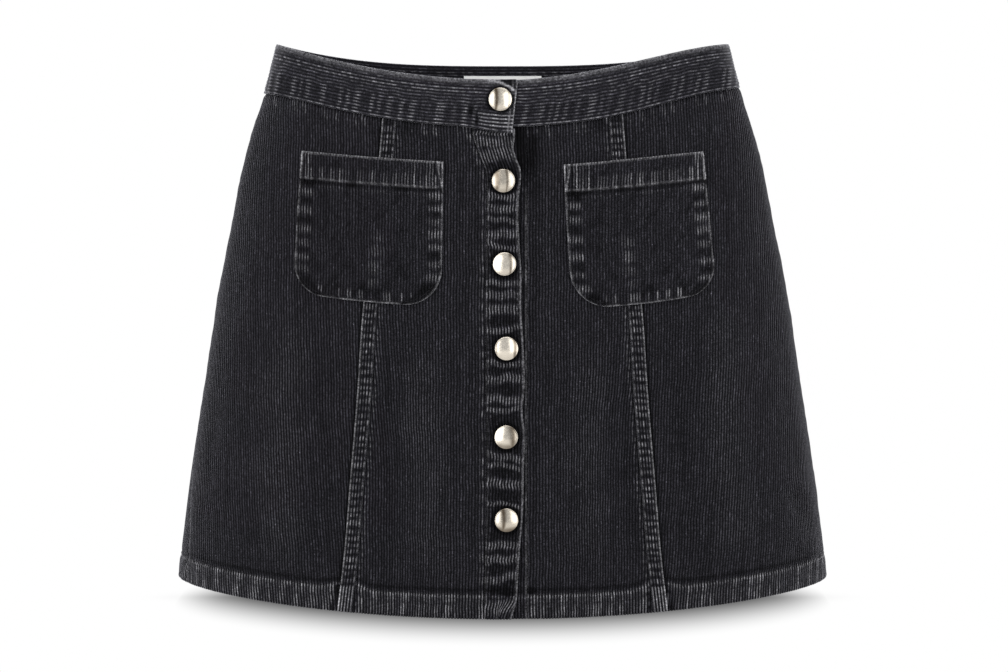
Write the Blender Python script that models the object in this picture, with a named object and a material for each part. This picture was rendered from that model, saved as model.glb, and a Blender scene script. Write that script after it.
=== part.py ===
"""A-line corduroy mini skirt with a snap front, filled out and held at the waist.

Metres, +Z up, -Y to the front, +X to the viewer's right when facing the front.
The origin is the middle of the waist opening, half way up the waistband at the
side seams. Every cloth piece is a closed wall laid on one oval skin.

Places on the skin are given by:
  angle  the oval's angle, 0 at the centre front, 90 degrees at a side seam
  across the straight distance from the centre front, in metres, + to the right
  fall   how far down, 0 at the waist edge and 1 at the hem edge
  out    the distance out of the skin, along its normal, in metres
"""

import math

import bmesh
import bpy
import numpy as np
from mathutils import Matrix, Vector

MM = 0.001

# ---- size of the whole skirt ------------------------------------------------
SIDE_LENGTH = 0.384       # waist edge to hem edge at the side seam
WAIST_EDGE_Z = 0.017      # height of the waist edge at the side seams
FRONT_DIP_WAIST = 0.0265  # how much lower the cloth lies at the centre front
FRONT_DIP_HEM = 0.014
BACK_DIP_WAIST = 0.014
BACK_DIP_HEM = 0.010
RIGHT_RISE = 0.0047       # the right front waist sits this much higher
RIGHT_RISE_FALL = 0.40    # and has settled again by this fall

# Half the width and half the depth of the oval at levels down the skirt.
LEVELS = [
    # fall, half_width, half_depth
    (0.000, 0.1610, 0.0515),
    (0.089, 0.1702, 0.0554),
    (0.160, 0.1793, 0.0590),
    (0.240, 0.1876, 0.0628),
    (0.330, 0.1944, 0.0671),
    (0.450, 0.2040, 0.0733),
    (0.620, 0.2145, 0.0804),
    (0.800, 0.2256, 0.0878),
    (1.000, 0.2357, 0.0943),
]

# ---- cloth ------------------------------------------------------------------
SEAM_GAP = 0.3 * MM
SEAM_GAP_FALL = SEAM_GAP / SIDE_LENGTH
CLOTH = 1.6 * MM          # one layer of corduroy
HEM_WALL = 3.0 * MM       # where the hem is turned up
HEM_FALL = 0.955          # top of the turned hem
HEM_STEP = 0.004

# ---- side seams -------------------------------------------------------------
LEFT_SEAM_SWING = math.radians(15.5)  # the left one swings to the front at the hem
LEFT_SEAM_SWING_SPAN = (0.60, 1.00)   # between these falls

# ---- princess seams ---------------------------------------------------------
SEAM_LINE = [
    # fall, across
    (0.00, 0.0815),
    (0.15, 0.0856),
    (0.29, 0.0904),
    (0.44, 0.0970),
    (0.60, 0.1010),
    (0.77, 0.1062),
    (0.88, 0.1095),
    (1.00, 0.1146),
]
LAP_WIDTH = 9.6 * MM      # raised double-stitched lap beside the seam
LAP_EDGE = 0.8 * MM       # width of the lap's sloping edge
LAP_LIFT = 0.8 * MM

# ---- front opening ----------------------------------------------------------
# The over placket's edges; its right edge waves in and out.
PLACKET_EDGES = [
    # fall, left_across, right_across
    (0.083, -0.0215, 0.0082),
    (0.106, -0.0204, 0.0086),
    (0.130, -0.0174, 0.0077),
    (0.148, -0.0146, 0.0096),
    (0.166, -0.0120, 0.0123),
    (0.184, -0.0110, 0.0127),
    (0.217, -0.0108, 0.0114),
    (0.245, -0.0110, 0.0109),
    (0.300, -0.0112, 0.0115),
    (0.360, -0.0114, 0.0130),
    (0.420, -0.0114, 0.0128),
    (0.500, -0.0114, 0.0146),
    (0.580, -0.0114, 0.0150),
    (0.612, -0.0112, 0.0138),
    (0.656, -0.0110, 0.0153),
    (0.712, -0.0110, 0.0149),
    (0.823, -0.0113, 0.0135),
    (0.865, -0.0117, 0.0120),
    (0.930, -0.0122, 0.0105),
    (0.965, -0.0126, 0.0096),
    (1.000, -0.0124, 0.0060),
]
OVER_OUTER = 1.4 * MM
OVER_WALL = 3.0 * MM
UNDER_OUTER = -1.9 * MM
UNDER_WALL = 2.2 * MM
UNDER_LEFT = -11.0 * MM
UNDER_RIGHT = 16.7 * MM
UNDER_SLOPE_END = 32.0 * MM   # the right panel has risen to the skin here

# ---- waistband --------------------------------------------------------------
BAND_FALL = 0.083         # about where its lower edge is
BAND_LOW = [
    # across, fall of the lower edge
    (-0.1710, 0.0925),
    (-0.1640, 0.0893),
    (-0.1500, 0.0868),
    (-0.1100, 0.0867),
    (-0.0850, 0.0876),
    (-0.0300, 0.0884),
    (0.0000, 0.0874),
    (0.0200, 0.0878),
    (0.0860, 0.0888),
    (0.1150, 0.0853),
    (0.1440, 0.0818),
    (0.1710, 0.0810),
]
BAND_OUTER = 0.8 * MM
BAND_WALL = 2.6 * MM
TAB_END_TOP = 10.8 * MM
TAB_END_LOW = 6.9 * MM
TAB_LIFT = 1.6 * MM
TAB_RISE = (-30.0 * MM, -14.0 * MM)   # the tab lifts between these places
TAB_DROOP = 0.012                     # extra fall at the tab's lower edge
TAB_DROOP_SPAN = (-32.0 * MM, 4.0 * MM)
BAND_SINK = 1.3 * MM                  # the right band sinks under the tab
BAND_SINK_SPAN = (14.0 * MM, 30.0 * MM)
BAND_UNDER_END = -12.0 * MM

# ---- patch pockets ----------------------------------------------------------
# Each pocket by its side, -1 left and +1 right; they sit a little askew.
POCKET_OUTER_EDGE = {-1: (0.1398, 0.1437, 0.1452), 1: (0.1398, 0.1448, 0.1492)}  # across, at the top,
POCKET_INNER_EDGE = {-1: (0.0410, 0.0418, 0.0424), 1: (0.0424, 0.0450, 0.0485)}  # half way, at the bottom
POCKET_TOP_FALL = {-1: (0.1570, 0.1618, 0.1730), 1: (0.1643, 0.1705, 0.1808)}    # at the inner edge,
POCKET_LOW_FALL = {-1: (0.4230, 0.4265, 0.4280), 1: (0.4270, 0.4310, 0.4295)}    # middle, outer edge
POCKET_MIDDLE = 0.0905                # across, where the pocket crosses the seam
POCKET_BAND = 0.190                   # share of the height that the band takes
POCKET_BAND_STEP = 0.010
POCKET_BAND_LIFT = 0.9 * MM
POCKET_INNER_CORNER = 0.0255
POCKET_OUTER_CORNER = 0.0200
POCKET_CORNER_STEPS = 5

# ---- snaps and label --------------------------------------------------------
SNAPS = [
    # across, fall
    (-0.0016, 0.0380),
    (0.0006, 0.1892),
    (0.0014, 0.3437),
    (0.0027, 0.4996),
    (0.0026, 0.6631),
    (0.0027, 0.8160),
]
SNAP_SIDES = 20
SNAP_PROFILE = [
    # radius, height
    (0.0 * MM, 0.0 * MM),
    (7.7 * MM, 0.0 * MM),
    (8.5 * MM, 0.7 * MM),
    (8.2 * MM, 1.7 * MM),
    (7.1 * MM, 1.8 * MM),
    (4.6 * MM, 2.4 * MM),
    (2.2 * MM, 2.7 * MM),
    (0.0 * MM, 2.8 * MM),
]
LABEL_HALF_WIDTH = 0.0287
LABEL_TOP_FALL = 0.019
LABEL_LOW_FALL = 0.078
LABEL_WALL = 1.0 * MM

# ---- mesh density -----------------------------------------------------------
ANGLE_STEP = math.radians(5.0)
BAND_STATIONS = 16        # waistband stations this step apart, from a side seam forwards
TAB_STATIONS = [x * MM for x in (-30.0, -26.0, -22.0, -18.0, -14.0, -5.0, 2.0)]
UNDER_STATIONS = [x * MM for x in (1.0, 14.0, 18.0, 22.0, 26.0, 30.0)]
BAND_ROWS = 3
TOP_ROW_SHARE = 0.42      # this share of a panel's height has the closer rows
CLOSE_ROWS = 15
WIDE_ROWS = 6
FRONT_COLUMNS = 5         # across the plain part of a front panel
SIDE_COLUMNS = 12
BACK_COLUMNS = 36
OVER_COLUMNS = 3
UNDER_COLUMNS = 2
OVER_ROWS = 46
UNDER_ROWS = 18
POCKET_OUTER_COLUMNS = 5  # outside the princess seam
POCKET_INNER_COLUMNS = 4  # inside its lap
POCKET_PLAIN_ROWS = 7
LABEL_COLUMNS = 6
LABEL_ROWS = 2
SHARP_ANGLE = math.radians(35.0)


# ---- the skin ---------------------------------------------------------------
def curve_through(table, at, column):
    """Read one column of a table on a smooth curve through its rows."""
    places = np.array([row[0] for row in table])
    values = np.array([row[column] for row in table])
    slopes = np.gradient(values, places)
    i = int(np.clip(np.searchsorted(places, at, side="right") - 1, 0, len(places) - 2))
    span = places[i + 1] - places[i]
    s = (at - places[i]) / span
    start = (2 * s**3 - 3 * s**2 + 1) * values[i] + (s**3 - 2 * s**2 + s) * span * slopes[i]
    end = (3 * s**2 - 2 * s**3) * values[i + 1] + (s**3 - s**2) * span * slopes[i + 1]
    return float(start + end)


def blend(value, low, high):
    """Rise smoothly from 0 at low to 1 at high."""
    s = min(1.0, max(0.0, (value - low) / (high - low)))
    return s * s * (3 - 2 * s)


def bow_through(values, share):
    """The parabola through three values, at shares 0, a half and 1."""
    start, middle, end = values
    return start + (end - start) * share + (4 * middle - 2 * start - 2 * end) * share * (1 - share)


def oval(fall):
    """Half width and half depth at a level."""
    return curve_through(LEVELS, fall, 1), curve_through(LEVELS, fall, 2)


def angle_at(across, fall):
    """The oval's angle at a straight distance from the centre front."""
    return math.asin(across / oval(fall)[0])


def skin_point(angle, fall):
    half_width, half_depth = oval(fall)
    side_share = abs(math.sin(angle))
    z = WAIST_EDGE_Z - SIDE_LENGTH * fall
    if math.cos(angle) >= 0:
        dip = FRONT_DIP_WAIST + (FRONT_DIP_HEM - FRONT_DIP_WAIST) * fall
        z -= dip * (1 - side_share**2)
    else:
        dip = BACK_DIP_WAIST + (BACK_DIP_HEM - BACK_DIP_WAIST) * fall
        z -= dip * (1 - side_share**3)
    if 0 < angle < math.pi / 2:
        z += RIGHT_RISE * math.sin(2 * angle) ** 2 * (1 - blend(fall, 0.0, RIGHT_RISE_FALL))
    return Vector((half_width * math.sin(angle), -half_depth * math.cos(angle), z))


def skin(angle, fall, out=0.0):
    """A point at a distance out of the skin."""
    step = 1e-4
    round_it = skin_point(angle + step, fall) - skin_point(angle - step, fall)
    down_it = skin_point(angle, fall + step) - skin_point(angle, fall - step)
    normal = down_it.cross(round_it).normalized()
    return skin_point(angle, fall) + normal * out


# ---- materials and objects --------------------------------------------------
def material(name, color, roughness, metallic=0.0):
    mat = bpy.data.materials.new(name)
    mat.use_nodes = True
    shader = mat.node_tree.nodes["Principled BSDF"]
    shader.inputs["Base Color"].default_value = (*color, 1.0)
    shader.inputs["Roughness"].default_value = roughness
    shader.inputs["Metallic"].default_value = metallic
    mat.diffuse_color = (*color, 1.0)
    return mat


def finish_object(name, bm, mat):
    bmesh.ops.recalc_face_normals(bm, faces=bm.faces[:])
    mesh = bpy.data.meshes.new(name)
    bm.to_mesh(mesh)
    bm.free()
    mesh.materials.append(mat)
    mesh.shade_smooth()
    mesh.set_sharp_from_angle(angle=SHARP_ANGLE)
    obj = bpy.data.objects.new(name, mesh)
    bpy.context.scene.collection.objects.link(obj)
    return obj


def cloth_wall(name, columns, rows, outer, inner, mat):
    """A closed wall: a grid laid on its outer face, extruded to its inner face.

    outer and inner give a point for a column number and a row number.
    """
    bm = bmesh.new()
    column_of = bm.verts.layers.int.new("column")
    row_of = bm.verts.layers.int.new("row")
    bmesh.ops.create_grid(bm, x_segments=columns, y_segments=rows, size=0.5)
    for vert in bm.verts:
        vert[column_of] = round((vert.co.x + 0.5) * columns)
        vert[row_of] = round((vert.co.y + 0.5) * rows)
        vert.co = outer(vert[column_of], vert[row_of])
    extruded = bmesh.ops.extrude_face_region(bm, geom=bm.faces[:])
    for vert in extruded["geom"]:
        if isinstance(vert, bmesh.types.BMVert):
            vert.co = inner(vert[column_of], vert[row_of])
    return finish_object(name, bm, mat)


# ---- panels -----------------------------------------------------------------
def panel_rows():
    """Shares of a panel's height, closer together near the top, with the hem's step."""
    close = [TOP_ROW_SHARE * i / CLOSE_ROWS for i in range(CLOSE_ROWS)]
    wide_span = HEM_FALL - TOP_ROW_SHARE
    wide = [TOP_ROW_SHARE + wide_span * i / WIDE_ROWS for i in range(WIDE_ROWS + 1)]
    return close + wide + [HEM_FALL + HEM_STEP, 1.0]


def seam_across(fall):
    return curve_through(SEAM_LINE, fall, 1)


def side_seam(side, fall):
    """A side seam's angle, less than a quarter turn where it has swung forwards."""
    swing = LEFT_SEAM_SWING * blend(fall, *LEFT_SEAM_SWING_SPAN) if side < 0 else 0.0
    return math.pi / 2 - swing


def lap_lift(across, fall):
    """How far the princess seam's lap stands out of the skin."""
    inside = seam_across(fall) - abs(across)
    if inside < 0:
        return LAP_LIFT * max(0.0, 1 + inside / LAP_EDGE)
    return LAP_LIFT * min(1.0, max(0.0, (LAP_WIDTH + LAP_EDGE - inside) / LAP_EDGE))


def band_low(angle):
    """The fall of the waistband's lower edge. At the back it runs straight across."""
    half_width = oval(BAND_FALL)[0]
    if math.cos(angle) >= 0:
        return curve_through(BAND_LOW, half_width * math.sin(angle), 1)
    left, right = (curve_through(BAND_LOW, side * half_width, 1) for side in (-1, 1))
    return left + (right - left) * (0.5 + 0.5 * math.sin(angle))


def tab_low(angle):
    """The same on the left front, where it droops at the tab."""
    across = oval(BAND_FALL)[0] * math.sin(angle)
    return band_low(angle) + TAB_DROOP * blend(across, *TAB_DROOP_SPAN)


def wall_at(fall):
    return HEM_WALL if fall > HEM_FALL + HEM_STEP / 2 else CLOTH


def panel(name, stations, low_edge, lift, mat):
    """A panel from its stations, functions that give an angle for a fall.

    low_edge gives the fall of the waistband's lower edge for an angle.
    """
    shares = panel_rows()
    last = len(stations) - 1
    tops = [low_edge(station(BAND_FALL)) + SEAM_GAP_FALL for station in stations]

    def place(column, row):
        fall = tops[column] + (1 - tops[column]) * shares[row]
        return stations[column](fall), fall

    def outer(column, row):
        angle, fall = place(column, row)
        return skin(angle, fall, lift(column, fall))

    def inner(column, row):
        angle, fall = place(column, row)
        return skin(angle, fall, lift(column, fall) - wall_at(fall))

    return cloth_wall(name, last, len(shares) - 1, outer, inner, mat)


def across_station(across_at):
    return lambda fall: angle_at(across_at(fall), fall)


def front_panel(name, side, mat):
    """The centre front panel on one side: -1 left, +1 right."""
    def opening_edge(fall):
        if side < 0:
            return curve_through(PLACKET_EDGES, max(fall, BAND_FALL), 1) - SEAM_GAP
        return UNDER_RIGHT + SEAM_GAP

    def plain(share):
        def across_at(fall):
            near = opening_edge(fall)
            far = side * (seam_across(fall) - LAP_WIDTH - LAP_EDGE)
            return near + (far - near) * share
        return across_at

    def on_lap(inside):
        return lambda fall: side * (seam_across(fall) - inside)

    lines = [plain(i / FRONT_COLUMNS) for i in range(FRONT_COLUMNS + 1)]
    lines += [on_lap(LAP_WIDTH), on_lap(LAP_WIDTH / 2), on_lap(SEAM_GAP / 2)]

    def lift(column, fall):
        across = lines[column](fall)
        sink = 0.0
        if side > 0:
            sink = UNDER_OUTER * (1 - blend(across, UNDER_RIGHT, UNDER_SLOPE_END))
        return sink + lap_lift(across, fall)

    stations = [across_station(line) for line in lines]
    return panel(name, stations, tab_low if side < 0 else band_low, lift, mat)


def side_panel(name, side, mat):
    """The side front panel, from the princess seam to the side seam."""
    half_gap = SEAM_GAP / 2

    def station(share):
        def angle_for(fall):
            near = angle_at(seam_across(fall) + half_gap, fall)
            far = side_seam(side, fall) - half_gap / oval(fall)[1]
            return side * (near + (far - near) * share)
        return angle_for

    stations = [station(i / SIDE_COLUMNS) for i in range(SIDE_COLUMNS + 1)]
    return panel(name, stations, band_low, lambda column, fall: 0.0, mat)


def back_panel(name, mat):
    """One panel round the back, from side seam to side seam."""
    half_gap = SEAM_GAP / 2

    def station(share):
        def angle_for(fall):
            gap = half_gap / oval(fall)[1]
            start = side_seam(1, fall) + gap
            end = 2 * math.pi - side_seam(-1, fall) - gap
            return start + (end - start) * share
        return angle_for

    stations = [station(i / BACK_COLUMNS) for i in range(BACK_COLUMNS + 1)]
    return panel(name, stations, band_low, lambda column, fall: 0.0, mat)


# ---- front opening ----------------------------------------------------------
def strip(name, left, right, columns, rows, low_edge, outer_out, wall, mat):
    """A narrow band down the front between two edges, given as across for a fall."""
    def angle_for(column, fall):
        across = left(fall) + (right(fall) - left(fall)) * column / columns
        return angle_at(across, fall)

    tops = [low_edge(angle_for(column, BAND_FALL)) + SEAM_GAP_FALL for column in range(columns + 1)]

    def place(column, row):
        fall = tops[column] + (1 - tops[column]) * row / rows
        return angle_for(column, fall), fall

    def outer(column, row):
        return skin(*place(column, row), outer_out)

    def inner(column, row):
        return skin(*place(column, row), outer_out - wall)

    return cloth_wall(name, columns, rows, outer, inner, mat)


def plackets(mat):
    strip("placket_over",
          lambda fall: curve_through(PLACKET_EDGES, fall, 1),
          lambda fall: curve_through(PLACKET_EDGES, fall, 2), OVER_COLUMNS, OVER_ROWS,
          tab_low, OVER_OUTER, OVER_WALL, mat)
    strip("placket_under",
          lambda fall: UNDER_LEFT, lambda fall: UNDER_RIGHT, UNDER_COLUMNS, UNDER_ROWS,
          band_low, UNDER_OUTER, UNDER_WALL, mat)


# ---- waistband --------------------------------------------------------------
def band(name, angles, outer_out, low_edge, mat):
    """A stretch of waistband; angles are functions of the fall, one a column."""
    lows = [low_edge(angle(BAND_FALL)) for angle in angles]

    def place(column, row):
        fall = lows[column] * row / BAND_ROWS
        return angles[column](fall), fall

    def outer(column, row):
        return skin(*place(column, row), outer_out(column))

    def inner(column, row):
        return skin(*place(column, row), outer_out(column) - BAND_WALL)

    return cloth_wall(name, len(angles) - 1, BAND_ROWS, outer, inner, mat)


def waistband_left(mat):
    """From the left side seam to the tab that laps over the centre front."""
    wide = [-math.pi / 2 + ANGLE_STEP * i for i in range(BAND_STATIONS)]
    side_gap = SEAM_GAP / 2 / oval(0)[1]

    def tab_end(fall):
        share = min(1.0, fall / (BAND_FALL + TAB_DROOP))
        return TAB_END_TOP + (TAB_END_LOW - TAB_END_TOP) * share

    angles = [lambda fall, a=a: max(a, -math.pi / 2 + side_gap) for a in wide]
    angles += [across_station(lambda fall, a=a: a) for a in TAB_STATIONS]
    angles.append(across_station(tab_end))
    across = [oval(0)[0] * math.sin(a) for a in wide] + TAB_STATIONS + [TAB_END_LOW]
    return band("waistband_left", angles,
                lambda column: BAND_OUTER + TAB_LIFT * blend(across[column], *TAB_RISE),
                tab_low, mat)


def waistband_right(mat):
    """From under the tab to the right side seam."""
    near = [BAND_UNDER_END] + UNDER_STATIONS
    wide = [math.pi / 2 - ANGLE_STEP * i for i in reversed(range(BAND_STATIONS))]
    side_gap = SEAM_GAP / 2 / oval(0)[1]
    angles = [across_station(lambda fall, a=a: a) for a in near]
    angles += [lambda fall, a=a: min(a, math.pi / 2 - side_gap) for a in wide]
    across = near + [oval(0)[0] * math.sin(a) for a in wide]
    return band("waistband_right", angles,
                lambda column: BAND_OUTER - BAND_SINK * (1 - blend(across[column], *BAND_SINK_SPAN)),
                band_low, mat)


def waistband_back(mat):
    start = math.pi / 2 + SEAM_GAP / 2 / oval(0)[1]
    step = (2 * math.pi - 2 * start) / BACK_COLUMNS
    angles = [lambda fall, i=i: start + step * i for i in range(BACK_COLUMNS + 1)]
    return band("waistband_back", angles, lambda column: BAND_OUTER, band_low, mat)


# ---- patch pockets ----------------------------------------------------------
def pocket(name, side, mat):
    """A patch laid on the panels, seam lap and all, with round lower corners."""
    outer_edge, inner_edge = POCKET_OUTER_EDGE[side], POCKET_INNER_EDGE[side]
    height = SIDE_LENGTH * (POCKET_LOW_FALL[side][1] - POCKET_TOP_FALL[side][1])
    corner = POCKET_INNER_CORNER / height
    turns = [math.pi / 2 * i / POCKET_CORNER_STEPS for i in range(POCKET_CORNER_STEPS + 1)]
    shares = [0.0, POCKET_BAND, POCKET_BAND + POCKET_BAND_STEP]
    start = shares[-1]
    plain_step = (1 - corner - start) / POCKET_PLAIN_ROWS
    shares += [start + plain_step * i for i in range(1, POCKET_PLAIN_ROWS)]
    shares += [1 - corner * (1 - math.sin(turn)) for turn in turns]

    def inset(share, radius):
        """How far a round corner has drawn its edge in."""
        drop = max(0.0, radius - (1 - share) * height)
        return radius - math.sqrt(max(0.0, radius**2 - drop**2))

    def columns_at(row):
        """Distances from the centre front of this row's columns, outer edge first."""
        share = shares[row]
        far = bow_through(outer_edge, share) - inset(share, POCKET_OUTER_CORNER)
        near = bow_through(inner_edge, share) + inset(share, POCKET_INNER_CORNER)
        seam = seam_across(fall_at(POCKET_MIDDLE, share))
        lap = [seam + LAP_EDGE, seam, seam - LAP_WIDTH / 2, seam - LAP_WIDTH,
               seam - LAP_WIDTH - LAP_EDGE]
        outer_step = (lap[0] - far) / POCKET_OUTER_COLUMNS
        inner_step = (lap[-1] - near) / POCKET_INNER_COLUMNS
        outside = [far + outer_step * i for i in range(POCKET_OUTER_COLUMNS)]
        inside = [near + inner_step * i for i in range(POCKET_INNER_COLUMNS)]
        return outside + lap + inside[::-1]

    def fall_at(distance, share):
        along = (distance - inner_edge[0]) / (outer_edge[0] - inner_edge[0])
        top = bow_through(POCKET_TOP_FALL[side], along)
        low = bow_through(POCKET_LOW_FALL[side], along)
        return top + (low - top) * share

    table = [columns_at(row) for row in range(len(shares))]

    def place(column, row, out):
        distance = table[row][column]
        fall = fall_at(distance, shares[row])
        lift = lap_lift(distance, fall) + SEAM_GAP
        return skin(side * angle_at(distance, fall), fall, lift + out)

    def outer(column, row):
        return place(column, row, CLOTH + (POCKET_BAND_LIFT if row <= 1 else 0.0))

    def inner(column, row):
        return place(column, row, 0.0)

    return cloth_wall(name, len(table[0]) - 1, len(shares) - 1, outer, inner, mat)


# ---- snaps and label --------------------------------------------------------
def snap(number, across, fall, mat):
    """A turned cap whose base sits just off the cloth below it."""
    bm = bmesh.new()
    verts = [bm.verts.new((radius, 0.0, height)) for radius, height in SNAP_PROFILE]
    edges = [bm.edges.new(pair) for pair in zip(verts, verts[1:])]
    bmesh.ops.spin(bm, geom=verts + edges, cent=(0, 0, 0), axis=(0, 0, 1),
                   angle=2 * math.pi, steps=SNAP_SIDES, use_duplicate=False)
    bmesh.ops.remove_doubles(bm, verts=bm.verts[:], dist=1e-6)
    cap = finish_object(f"snap_{number}", bm, mat)
    on_tab = fall < BAND_FALL
    seat = (BAND_OUTER + TAB_LIFT if on_tab else OVER_OUTER) + SEAM_GAP
    angle = angle_at(across, fall)
    base = skin(angle, fall, seat)
    outward = (skin(angle, fall, seat + 1 * MM) - base).normalized()
    turn = outward.to_track_quat("Z", "Y").to_matrix().to_4x4()
    cap.matrix_world = Matrix.Translation(base) @ turn
    return cap


def label(mat):
    """A flat tag on the inside of the back waistband."""
    outer_out = BAND_OUTER - BAND_WALL - SEAM_GAP

    def place(column, row, out):
        fall = LABEL_TOP_FALL + (LABEL_LOW_FALL - LABEL_TOP_FALL) * row / LABEL_ROWS
        across = LABEL_HALF_WIDTH * (1 - 2 * column / LABEL_COLUMNS)
        return skin(math.pi - angle_at(across, fall), fall, out)

    return cloth_wall("label", LABEL_COLUMNS, LABEL_ROWS,
                      lambda column, row: place(column, row, outer_out),
                      lambda column, row: place(column, row, outer_out - LABEL_WALL), mat)


# ---- the skirt --------------------------------------------------------------
def main():
    for obj in list(bpy.data.objects):
        bpy.data.objects.remove(obj, do_unlink=True)
    corduroy = material("corduroy", (0.022, 0.022, 0.026), 0.9)
    band_corduroy = material("band_corduroy", (0.030, 0.030, 0.035), 0.9)
    pocket_corduroy = material("pocket_corduroy", (0.026, 0.026, 0.031), 0.9)
    metal = material("snap_metal", (0.78, 0.72, 0.62), 0.25, 1.0)
    white = material("label_cloth", (0.85, 0.84, 0.82), 0.8)

    back_panel("panel_back", corduroy)
    for side, word in ((-1, "left"), (1, "right")):
        side_panel(f"panel_side_{word}", side, corduroy)
        front_panel(f"panel_front_{word}", side, corduroy)
        pocket(f"pocket_{word}", side, pocket_corduroy)
    plackets(band_corduroy)
    waistband_left(band_corduroy)
    waistband_right(band_corduroy)
    waistband_back(band_corduroy)
    label(white)
    for number, (across, fall) in enumerate(SNAPS, start=1):
        snap(number, across, fall, metal)


main()
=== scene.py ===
"""The looks of the A-line corduroy skirt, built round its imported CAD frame.

Metres, +Z up, -Y to the front. Every sheet of cloth is laid on the same oval
skin as the solids, and its places are given the same way:
  angle   the oval's angle, 0 at the centre front, 90 degrees at a side seam
  arc     the length round the oval from the centre front, + to the right
  across  the straight distance from the centre front
  fall    how far down, 0 at the waist edge and 1 at the hem edge
  out     the distance out of the skin, along its normal
The corduroy's ribs (wales) are in the meshes, four columns of faces to a wale.
"""

import math

import bpy
import numpy as np
from mathutils import Matrix, Vector


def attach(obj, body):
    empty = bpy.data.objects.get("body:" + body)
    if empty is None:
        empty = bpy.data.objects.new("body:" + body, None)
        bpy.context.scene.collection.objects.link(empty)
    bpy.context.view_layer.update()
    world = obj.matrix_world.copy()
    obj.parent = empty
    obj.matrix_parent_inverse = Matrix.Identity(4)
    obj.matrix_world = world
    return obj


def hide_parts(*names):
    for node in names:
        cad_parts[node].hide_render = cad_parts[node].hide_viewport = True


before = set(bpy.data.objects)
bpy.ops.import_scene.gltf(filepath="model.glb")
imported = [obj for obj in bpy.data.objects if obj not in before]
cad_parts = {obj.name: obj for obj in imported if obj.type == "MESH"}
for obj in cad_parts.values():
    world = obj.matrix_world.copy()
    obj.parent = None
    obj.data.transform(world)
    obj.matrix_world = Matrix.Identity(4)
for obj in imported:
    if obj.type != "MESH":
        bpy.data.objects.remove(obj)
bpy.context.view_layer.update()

MM = 0.001
QUARTER = math.pi / 2
WHITE = (1.0, 1.0, 1.0, 1.0)
SIDES = {-1: "left", 1: "right"}
MARKS = ("wale", "along", "wear_and_shade", "edge")   # what each point of cloth stores for its material

# ---- the skirt's form, as its solids have it ----------------------------------
SIDE_LENGTH = 0.384
WAIST_EDGE_Z = 0.017
FRONT_DIP = (0.0265, 0.014)   # at the waist and at the hem
BACK_DIP = (0.014, 0.010)
RIGHT_RISE = 0.0047
RIGHT_RISE_FALL = 0.40
LEVELS = [
    # fall, half_width, half_depth
    (0.000, 0.1610, 0.0515),
    (0.089, 0.1702, 0.0554),
    (0.160, 0.1793, 0.0590),
    (0.240, 0.1876, 0.0628),
    (0.330, 0.1944, 0.0671),
    (0.450, 0.2040, 0.0733),
    (0.620, 0.2145, 0.0804),
    (0.800, 0.2256, 0.0878),
    (1.000, 0.2357, 0.0943),
]
SEAM_GAP = 0.3 * MM
CLOTH = 1.6 * MM
HEM_WALL = 3.0 * MM
HEM_FALL = 0.955
LEFT_SEAM_SWING = math.radians(15.5)
LEFT_SEAM_SWING_SPAN = (0.60, 1.00)
SEAM_LINE = [
    # fall, across
    (0.00, 0.0815),
    (0.15, 0.0856),
    (0.29, 0.0904),
    (0.44, 0.0970),
    (0.60, 0.1010),
    (0.77, 0.1062),
    (0.88, 0.1095),
    (1.00, 0.1146),
]
LAP_WIDTH = 9.6 * MM
LAP_LIFT = 0.8 * MM
PLACKET_EDGES = [
    # fall, left_across, right_across
    (0.083, -0.0215, 0.0082),
    (0.106, -0.0204, 0.0086),
    (0.130, -0.0174, 0.0077),
    (0.148, -0.0146, 0.0096),
    (0.166, -0.0120, 0.0123),
    (0.184, -0.0110, 0.0127),
    (0.217, -0.0108, 0.0114),
    (0.245, -0.0110, 0.0109),
    (0.300, -0.0112, 0.0115),
    (0.360, -0.0114, 0.0130),
    (0.420, -0.0114, 0.0128),
    (0.500, -0.0114, 0.0146),
    (0.580, -0.0114, 0.0150),
    (0.612, -0.0112, 0.0138),
    (0.656, -0.0110, 0.0153),
    (0.712, -0.0110, 0.0149),
    (0.823, -0.0113, 0.0135),
    (0.865, -0.0117, 0.0120),
    (0.930, -0.0122, 0.0105),
    (0.965, -0.0126, 0.0096),
    (1.000, -0.0124, 0.0060),
]
OVER_OUTER = 1.4 * MM
OVER_WALL = 3.0 * MM
UNDER_OUTER = -1.9 * MM
UNDER_WALL = 2.2 * MM
UNDER_LEFT = -11.0 * MM
UNDER_RIGHT = 16.7 * MM
UNDER_SLOPE_END = 32.0 * MM
BAND_FALL = 0.083
BAND_LOW = [
    # across, fall of the lower edge
    (-0.1710, 0.0925),
    (-0.1640, 0.0893),
    (-0.1500, 0.0868),
    (-0.1100, 0.0867),
    (-0.0850, 0.0876),
    (-0.0300, 0.0884),
    (0.0000, 0.0874),
    (0.0200, 0.0878),
    (0.0860, 0.0888),
    (0.1150, 0.0853),
    (0.1440, 0.0818),
    (0.1710, 0.0810),
]
BAND_OUTER = 0.8 * MM
BAND_WALL = 2.6 * MM
TAB_END_TOP = 10.8 * MM
TAB_END_LOW = 6.9 * MM
TAB_CORNER = 3.2 * MM
TAB_LIFT = 1.6 * MM
TAB_RISE = (-30.0 * MM, -14.0 * MM)
TAB_DROOP = 0.012
TAB_DROOP_SPAN = (-32.0 * MM, 4.0 * MM)
BAND_SINK = 1.3 * MM
BAND_SINK_SPAN = (14.0 * MM, 30.0 * MM)
BAND_UNDER_END = -12.0 * MM
POCKET_OUTER_EDGE = {-1: (0.1398, 0.1437, 0.1452), 1: (0.1398, 0.1448, 0.1492)}  # -1 left, +1 right
POCKET_INNER_EDGE = {-1: (0.0410, 0.0418, 0.0424), 1: (0.0424, 0.0450, 0.0485)}
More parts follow.
